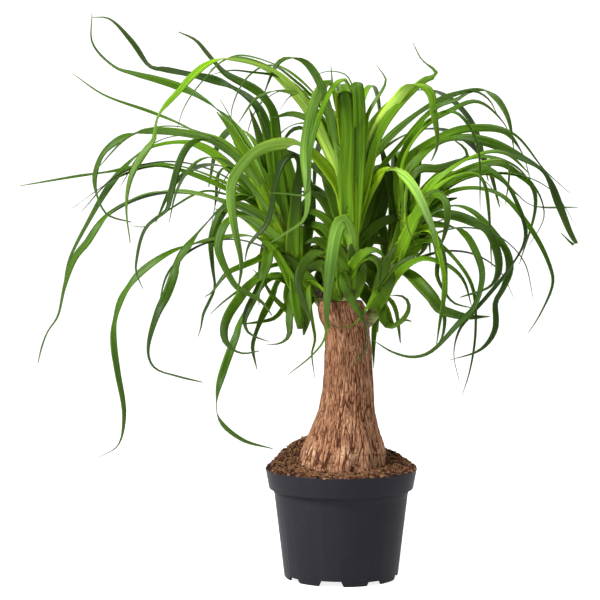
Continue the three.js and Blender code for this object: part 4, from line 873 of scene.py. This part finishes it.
def blade(line, sides, run, width, seed, age, foot=foot_width):
    """The points, rings and finish of one leaf blade along a line: a channelled strap with a keel."""
    share = run / run[-1]
    clasp = np.exp(-(run / foot_length) ** 2)
    taper = 1 - tip_narrowing * share ** tip_curve
    broad = min(foot, 1.6 * width + 2)
    half = (width * taper + max(broad - width, 0) * clasp) / 2
    half = half * np.minimum(clasped_share + run / clasped_length, 1)
    half = np.maximum(half, thread * np.clip((1 - share) / tip_share + 0.25, 0, 1))
    fold = channel - recurve * share + (foot_channel - channel) * clasp
    bend = np.linalg.norm(np.gradient(along_line(line), axis=0), axis=1) / row_step
    fold = fold - np.minimum(flattening * bend, most_flattened)
    along = along_line(line)
    sides = unit(sides - along * np.sum(sides * along, axis=1, keepdims=True))
    up = np.cross(along, sides)
    across = np.abs(blade_places)
    lift = fold[:, None] * across ** side_droop + side_arch * np.sin(np.pi * across)
    top = line[:, None] + sides[:, None] * (half[:, None] * blade_places)[..., None]
    top = top + up[:, None] * (half[:, None] * lift)[..., None]
    keel = blade_thickness * (1 - 0.6 * across ** 2) + keel_depth * np.exp(-(across / keel_width) ** 2)
    slim = np.minimum(half / thin_below, 1)
    under = (top - up[:, None] * (slim[:, None] * keel)[..., None])[:, -2:0:-1]
    rings = np.concatenate([top, under], axis=1)
    spread = np.concatenate([blade_places, blade_places[-2:0:-1]])
    lower = np.concatenate([np.zeros(len(blade_places)), np.ones(len(blade_places) - 2)])
    # The outer part of each leaf turns a darker olive toward its tip.
    dried = tip_darkness * np.clip((share - tip_dark_from) / 0.45, 0, 1) ** 1.3
    # Painted shade: the leaf is drawn darker toward its tip and where the blade hangs down, added to its
    # age.
    age_and_shade = 0.5 + age_spread * (age - 0.5) + tipward_shade * (share - 0.35)
    age_and_shade = age_and_shade + hanging_shade * np.clip(-along[:, 2], 0, 1)
    finish = {
        "across": (half[:, None] * spread).ravel(),
        "along": (run[:, None] + 0 * spread).ravel() + 1000 * seed,
        "foot": (np.exp(-run / foot_paleness)[:, None] + 0 * spread).ravel(),
        "tip": (dried[:, None] + 0 * spread).ravel(),
        "under": (lower + 0 * half[:, None]).ravel(),
        "age": (np.clip(age_and_shade, 0, 1)[:, None] + 0 * spread).ravel(),
    }
    return rings.reshape(-1, 3), rings.shape[:2], finish


def carried(sides, weights, reach=2):
    """Side directions that turn smoothly from one point of a leaf to the next, without a flip."""
    for row in range(1, len(sides)):
        if sides[row] @ sides[row - 1] < 0:
            sides[row] = -sides[row]
    padded = np.pad(sides * weights, ((reach, reach), (0, 0)), mode="edge")
    window = np.hanning(2 * reach + 3)[1:-1]
    return unit(np.stack([np.convolve(padded[:, axis], window, mode="valid") for axis in range(3)], axis=1))


def routed_leaf(stem, leaf, seed):
    """A leaf that is seen from the front, along its route."""
    width, foot_height, age, route = leaf
    foot = stem_at(stem, foot_height)
    route = [point + [None] * (4 - len(point)) for point in route]
    flat = np.array([[foot[0], foot[2]]] + [point[:2] for point in route], dtype=float)
    places = np.concatenate([[0], np.cumsum(np.hypot(*np.diff(flat, axis=0).T))])
    depths = stated(places, [foot[1]] + [point[3] for point in route], lambda share: 1 - (1 - share) ** 2)
    turns = stated(places, [None] + [point[2] for point in route])
    points = [foot]
    for (x, z), depth in zip(flat[1:], depths[1:]):
        points.append(eye + (np.array([x, 0, z]) - eye) * (depth - eye[1]) / -eye[1])
    line, beyond, run = smooth_line(points)
    turn = np.interp(beyond, range(len(turns)), np.unwrap(turns, period=180))
    turn = turn + twist * np.array([noise.noise(Vector((place / twist_span, seed, 0))) for place in run])
    held = turn % 180
    turn = turn - held + 90 + 90 * np.sign(held - 90) * (np.abs(held - 90) / 90) ** face_hold
    turn = np.radians(turn)[:, None] * (1 if route[-1][0] < foot[0] else -1)
    along = along_line(line)
    across = np.cross(along, unit(line - eye))
    plainness = np.linalg.norm(across, axis=1, keepdims=True) ** 2
    across = unit(across)
    sides = across * np.cos(turn) + np.cross(along, across) * np.sin(turn)
    return blade(line, carried(sides, plainness), run, width, seed, age)


back_steps = 5
young_rise = 66
rise_lost = 26
rise_spread = 8
least_fall = 120
fall_spread = 35
sway_spread = 30
roll_spread = 100
narrowest = 8
width_spread = 5


def draw(seed):
    """A repeatable number between 0 and 1."""
    return math.sin(seed * 12.9898) * 43758.5453 % 1


def back_leaf(stem, index, seed):
    """A leaf on the back of a shoot: it rises from the stem, arches over and hangs."""
    count, from_turn, to_turn, shortest, longest = stem["back"]
    around = math.radians(from_turn + (to_turn - from_turn) * ((index + 0.5) * golden_part % 1))
    low, high = stem["line"][2][2], stem["line"][-1][2]
    age = index / count
    length = shortest + (longest - shortest) * draw(seed + 1)
    rise = math.radians(young_rise - rise_lost * age + rise_spread * draw(seed + 2))
    fall = math.radians(least_fall + fall_spread * draw(seed + 3))
    sway = math.radians(sway_spread * (draw(seed + 4) - 0.5))
    roll = math.radians(roll_spread * (draw(seed + 5) - 0.5))
    points = [stem_at(stem, high - (high - low) * age)]
    for step in range(back_steps):
        share = (step + 0.5) / back_steps
        climb = rise - fall * share ** 1.3
        heading = around + sway * share
        stride = np.array([math.cos(climb) * math.cos(heading), math.cos(climb) * math.sin(heading),
                           math.sin(climb)])
        points.append(points[-1] + stride * length / back_steps)
    line, beyond, run = smooth_line(points)
    along = along_line(line)
    level = np.array([-math.sin(around), math.cos(around), 0])
    level = unit(level - along * (along @ level)[:, None])
    angle = roll * (beyond / back_steps)[:, None]
    sides = level * np.cos(angle) + np.cross(along, level) * np.sin(angle)
    width = narrowest + width_spread * draw(seed + 6)
    return blade(line, sides, run, width, seed, 0.45 + 0.5 * age)


# Living leaf: yellow-green and pale at its clasping foot, grass green along the blade, dark on old leaves
# and a darker olive toward the tip, with fine veins that run its whole length, drawn 1.3 mm wide so that
# they show. Painted shade darkens it further toward the tip, where the blade hangs down and on leaves that
# lie in the crown's shadow. Its waxy skin gives a soft sheen, and a little light sinks into it.
vein_gap = 1.3
vein_length = 130.0
band_gap = 5.0
leaf_skin = material_named("waxy_leaf")
signs = {name: add(leaf_skin, "ShaderNodeAttribute", {"attribute_name": name}).outputs["Fac"]
         for name in ("across", "along", "foot", "tip", "under", "age")}
vein_across = add(leaf_skin, "ShaderNodeMath", {"operation": "DIVIDE", 1: vein_gap}, {0: signs["across"]})
vein_along = add(leaf_skin, "ShaderNodeMath", {"operation": "DIVIDE", 1: vein_length}, {0: signs["along"]})
vein_space = add(leaf_skin, "ShaderNodeCombineXYZ", {},
                 {"X": vein_across.outputs["Value"], "Y": vein_along.outputs["Value"]})
veins = add(leaf_skin, "ShaderNodeTexNoise", {"Scale": 1.0, "Detail": 2, "Roughness": 0.5},
            {"Vector": vein_space.outputs["Vector"]})
band_across = add(leaf_skin, "ShaderNodeMath", {"operation": "DIVIDE", 1: band_gap}, {0: signs["across"]})
band_space = add(leaf_skin, "ShaderNodeCombineXYZ", {"Z": 5.0},
                 {"X": band_across.outputs["Value"], "Y": vein_along.outputs["Value"]})
bands = add(leaf_skin, "ShaderNodeTexNoise", {"Scale": 1.0, "Detail": 1},
            {"Vector": band_space.outputs["Vector"]})
# The age attribute also carries painted shade, so this ramp darkens shaded leaves and hanging leaf ends.
green = add(leaf_skin, "ShaderNodeValToRGB", {}, {"Fac": signs["age"]},
            [(0.0, "#9fbc22"), (1.0, "#1b2f04"), (0.3, "#6e9514"), (0.6, "#426408")])
vein_shade = add(leaf_skin, "ShaderNodeValToRGB", {}, {"Fac": veins.outputs["Fac"]},
                 [(0.35, "#86a172"), (0.62, "#ffffff")])
band_shade = add(leaf_skin, "ShaderNodeValToRGB", {}, {"Fac": bands.outputs["Fac"]},
                 [(0.35, "#8cab7c"), (0.62, "#ffffff")])
veined = add(leaf_skin, "ShaderNodeMix", {"data_type": "RGBA", "blend_type": "MULTIPLY", 0: 0.7},
             {6: green.outputs["Color"], 7: vein_shade.outputs["Color"]})
banded = add(leaf_skin, "ShaderNodeMix", {"data_type": "RGBA", "blend_type": "MULTIPLY", 0: 0.55},
             {6: veined.outputs[2], 7: band_shade.outputs["Color"]})
paler = add(leaf_skin, "ShaderNodeHueSaturation", {"Saturation": 0.88, "Value": 1.35},
            {"Color": banded.outputs[2]})
lower_side = add(leaf_skin, "ShaderNodeMix", {"data_type": "RGBA"},
                 {0: signs["under"], 6: banded.outputs[2], 7: paler.outputs["Color"]})
footed = add(leaf_skin, "ShaderNodeMath", {"operation": "MULTIPLY", 1: 0.45}, {0: signs["foot"]})
pale_foot = add(leaf_skin, "ShaderNodeMix", {"data_type": "RGBA", 7: linear("#86b52a")},
                {0: footed.outputs["Value"], 6: lower_side.outputs[2]})
# Toward the tip the leaf turns a darker olive.
darker_tip = add(leaf_skin, "ShaderNodeMix", {"data_type": "RGBA", 7: linear("#34451a")},
              {0: signs["tip"], 6: pale_foot.outputs[2]})
ribs = add(leaf_skin, "ShaderNodeBump", {"Strength": 0.35, "Distance": 0.25 * MM},
           {"Height": veins.outputs["Fac"]})
finish = add(leaf_skin, "ShaderNodeBsdfPrincipled",
             {"Roughness": 0.42, "IOR": 1.4, "Specular IOR Level": 0.12, "Subsurface Weight": 0.25,
              "Subsurface Scale": 1.5 * MM, "Subsurface Radius": (0.7, 1.0, 0.15)},
             {"Base Color": darker_tip.outputs[2], "Normal": ribs.outputs["Normal"]})
add(leaf_skin, "ShaderNodeOutputMaterial", {}, {"Surface": finish.outputs["BSDF"]})

# Scarred stem: a soft green skin with brown level scars, 4 mm high, where the oldest leaves have dropped.
stem_skin = material_named("scarred_stem")
place = add(stem_skin, "ShaderNodeTexCoord", {}).outputs["Object"]
scar_space = add(stem_skin, "ShaderNodeMapping", {"Scale": (0.4, 0.4, 1)}, {"Vector": place})
scars = add(stem_skin, "ShaderNodeTexNoise", {"Scale": 1 / (4 * MM), "Detail": 4},
            {"Vector": scar_space.outputs["Vector"]})
stem_shade = add(stem_skin, "ShaderNodeValToRGB", {}, {"Fac": scars.outputs["Fac"]},
                 [(0.3, "#3a2a1c"), (0.7, "#8a9a4e"), (0.5, "#6a6a34")])
scarred = add(stem_skin, "ShaderNodeBump", {"Strength": 0.5, "Distance": 0.6 * MM},
              {"Height": scars.outputs["Fac"]})
finish = add(stem_skin, "ShaderNodeBsdfPrincipled", {"Roughness": 0.7},
             {"Base Color": stem_shade.outputs["Color"], "Normal": scarred.outputs["Normal"]})
add(stem_skin, "ShaderNodeOutputMaterial", {}, {"Surface": finish.outputs["BSDF"]})

stem_sides = 16
stem_spacing = 5
for side, stem in stems.items():
    leaves = []
    for index, leaf in enumerate(routes[side]):
        seed = stem["seed"] + 200 + index
        leaves.append(routed_leaf(stem, leaf, seed))
    for index in range(stem["back"][0]):
        leaves.append(back_leaf(stem, index, stem["seed"] + 10 * index))
    points = []
    faces = []
    finishes = {name: [] for name in signs}
    for leaf_points, leaf_rings, leaf_finish in leaves:
        faces += skin(*leaf_rings, sum(map(len, points)))
        points.append(leaf_points)
        for name, values in leaf_finish.items():
            finishes[name].append(values)
    crown = mesh_piece(f"shoot_{side}_leaves", np.concatenate(points), faces)
    for name, values in finishes.items():
        paint(crown, name, np.concatenate(values))
    coat(crown, leaf_skin)

    line, _, run = smooth_line(stem["line"], stem_spacing)
    radii = np.interp(run / run[-1], [0, 1], stem["radii"])
    around = np.arange(stem_sides) / stem_sides * 2 * math.pi
    along = along_line(line)
    first = unit(np.cross(along, [0, 1, 0]))
    second = np.cross(along, first)
    rings = (line[:, None] + radii[:, None, None] * (first[:, None] * np.cos(around)[:, None]
                                                     + second[:, None] * np.sin(around)[:, None]))
    stalk = mesh_piece(f"shoot_{side}_stem", rings.reshape(-1, 3), skin(len(line), stem_sides))
    coat(stalk, stem_skin)
    for piece in (crown, stalk):
        piece.data.polygons.foreach_set("use_smooth", [True] * len(piece.data.polygons))
        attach(piece, "root")
    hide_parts(f"shoot_{side}")

# Round each stem's foot stand the dry stubs of dropped leaves: short papery scales, purple-brown and dry,
# that lean out from the stem.
stub_count = 14
stub_width = 12
stub_base = 348
stub_ring = 7
stub_lean = 5
stub_steps = 6
scale_points = []
scale_faces = []
for side, stem in stems.items():
    for index in range(stub_count):
        seed = stem["seed"] + 50 + index
        around = 2 * math.pi * (index * golden_part % 1)
        outward = np.array([math.cos(around), math.sin(around), 0])
        start = stem_at(stem, stub_base + 9 * draw(seed)) + outward * stub_ring
        tall = 10 + 10 * draw(seed + 0.5)
        line = np.array([start + outward * (stub_lean * share) + np.array([0, 0, tall * share])
                         for share in np.linspace(0, 1, stub_steps)])
        sides = np.array([[-math.sin(around), math.cos(around), 0]] * stub_steps)
        run = np.linspace(0, math.hypot(tall, stub_lean), stub_steps)
        points, stub_rings, _ = blade(line, sides, run, stub_width, 0, 1, stub_width)
        scale_faces += skin(*stub_rings, sum(map(len, scale_points)))
        scale_points.append(points)
scales = mesh_piece("dry_scales", np.concatenate(scale_points), scale_faces)

# Dried leaf base: a dull papery brown with darker strands, drawn 1.5 mm wide so that they show.
dried = material_named("dried_leaf_base")
place = add(dried, "ShaderNodeTexCoord", {}).outputs["Object"]
strand_space = add(dried, "ShaderNodeMapping", {"Scale": (1, 1, 0.2)}, {"Vector": place})
strands = add(dried, "ShaderNodeTexNoise", {"Scale": 1 / (1.5 * MM), "Detail": 4},
              {"Vector": strand_space.outputs["Vector"]})
dried_shade = add(dried, "ShaderNodeValToRGB", {}, {"Fac": strands.outputs["Fac"]},
                  [(0.35, "#241619"), (0.7, "#6b4a3a"), (0.5, "#3c262a")])
frayed = add(dried, "ShaderNodeBump", {"Strength": 0.5, "Distance": 0.5 * MM},
             {"Height": strands.outputs["Fac"]})
finish = add(dried, "ShaderNodeBsdfPrincipled", {"Roughness": 0.8},
             {"Base Color": dried_shade.outputs["Color"], "Normal": frayed.outputs["Normal"]})
add(dried, "ShaderNodeOutputMaterial", {}, {"Surface": finish.outputs["BSDF"]})
coat(scales, dried)
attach(scales, "root")

# The stage is a round cove of white paper, seamless and matt: a wide floor that curves up into a low wall
# all round.
cove_middle = 300
cove_steps = 18
cove_floor = 4500
cove_curve = 1500
cove_wall = 3500
paper = begin_ring("paper_sweep", 96, 0, cove_middle, 0)
cove_rings = [(0, radius, 0) for radius in (900, 1800, 3000, cove_floor)]
for step in range(1, cove_steps + 1):
    turn = math.radians(90 * step / cove_steps)
    cove_rings.append((0, cove_floor + cove_curve * math.sin(turn), cove_curve * (1 - math.cos(turn))))
raise_rings((0, cove_middle, 0), cove_rings + [(0, cove_floor + cove_curve, cove_wall)])
bpy.ops.object.mode_set(mode="OBJECT")
bpy.ops.object.shade_smooth()

# Matt white paper, which glows a little so that its white stays even, with a tooth drawn 3 mm wide.
white_paper = material_named("white_paper")
place = add(white_paper, "ShaderNodeTexCoord", {}).outputs["Object"]
tooth = add(white_paper, "ShaderNodeTexNoise", {"Scale": 1 / (3 * MM), "Detail": 2}, {"Vector": place})
paper_shade = add(white_paper, "ShaderNodeValToRGB", {}, {"Fac": tooth.outputs["Fac"]},
                  [(0.3, "#a6a6a6"), (0.7, "#acacac")])
finish = add(white_paper, "ShaderNodeBsdfPrincipled",
             {"Roughness": 0.9, "Specular IOR Level": 0.1, "Emission Color": linear("#ffffff"),
              "Emission Strength": 0.84}, {"Base Color": paper_shade.outputs["Color"]})
add(white_paper, "ShaderNodeOutputMaterial", {}, {"Surface": finish.outputs["BSDF"]})
coat(paper, white_paper)

# The studio light is soft and comes mostly from high on the left, with a weaker lamp overhead and white
# paper all round. A lamp is its name, place and size in metres, and power in watts.
aim = (0, 0, 0.35)
lamps = [
    ("key_light", (-1.8, -1.1, 2.1), 0.9, 168),
    ("top_light", (0.6, 0.2, 2.3), 1.2, 44),
]
for name, place, size, power in lamps:
    lamp = bpy.data.lights.new(name, "AREA")
    lamp.size = size
    lamp.energy = power
    lantern = bpy.data.objects.new(name, lamp)
    bpy.context.collection.objects.link(lantern)
    lantern.location = place
    lantern.rotation_euler = (Vector(aim) - Vector(place)).to_track_quat("-Z", "Y").to_euler()
room = bpy.data.worlds.new("white_room")
room.use_nodes = True
room.node_tree.nodes["Background"].inputs["Color"].default_value = linear("#ffffff")
room.node_tree.nodes["Background"].inputs["Strength"].default_value = 0.06
bpy.context.scene.world = room
bpy.context.scene.view_settings.view_transform = "Standard"

# The camera stands where the photograph's did: 2.5 m in front and a little left of the pot, looking
# slightly down.
camera_tilt = 3.895
camera_data = bpy.data.cameras.new("camera")
camera_data.sensor_width = 36
camera_data.lens = 118.8
camera = bpy.data.objects.new("camera", camera_data)
bpy.context.collection.objects.link(camera)
camera.location = (eye * MM).tolist()
camera.rotation_euler = (math.radians(90 - camera_tilt), 0, 0)
bpy.context.scene.camera = camera
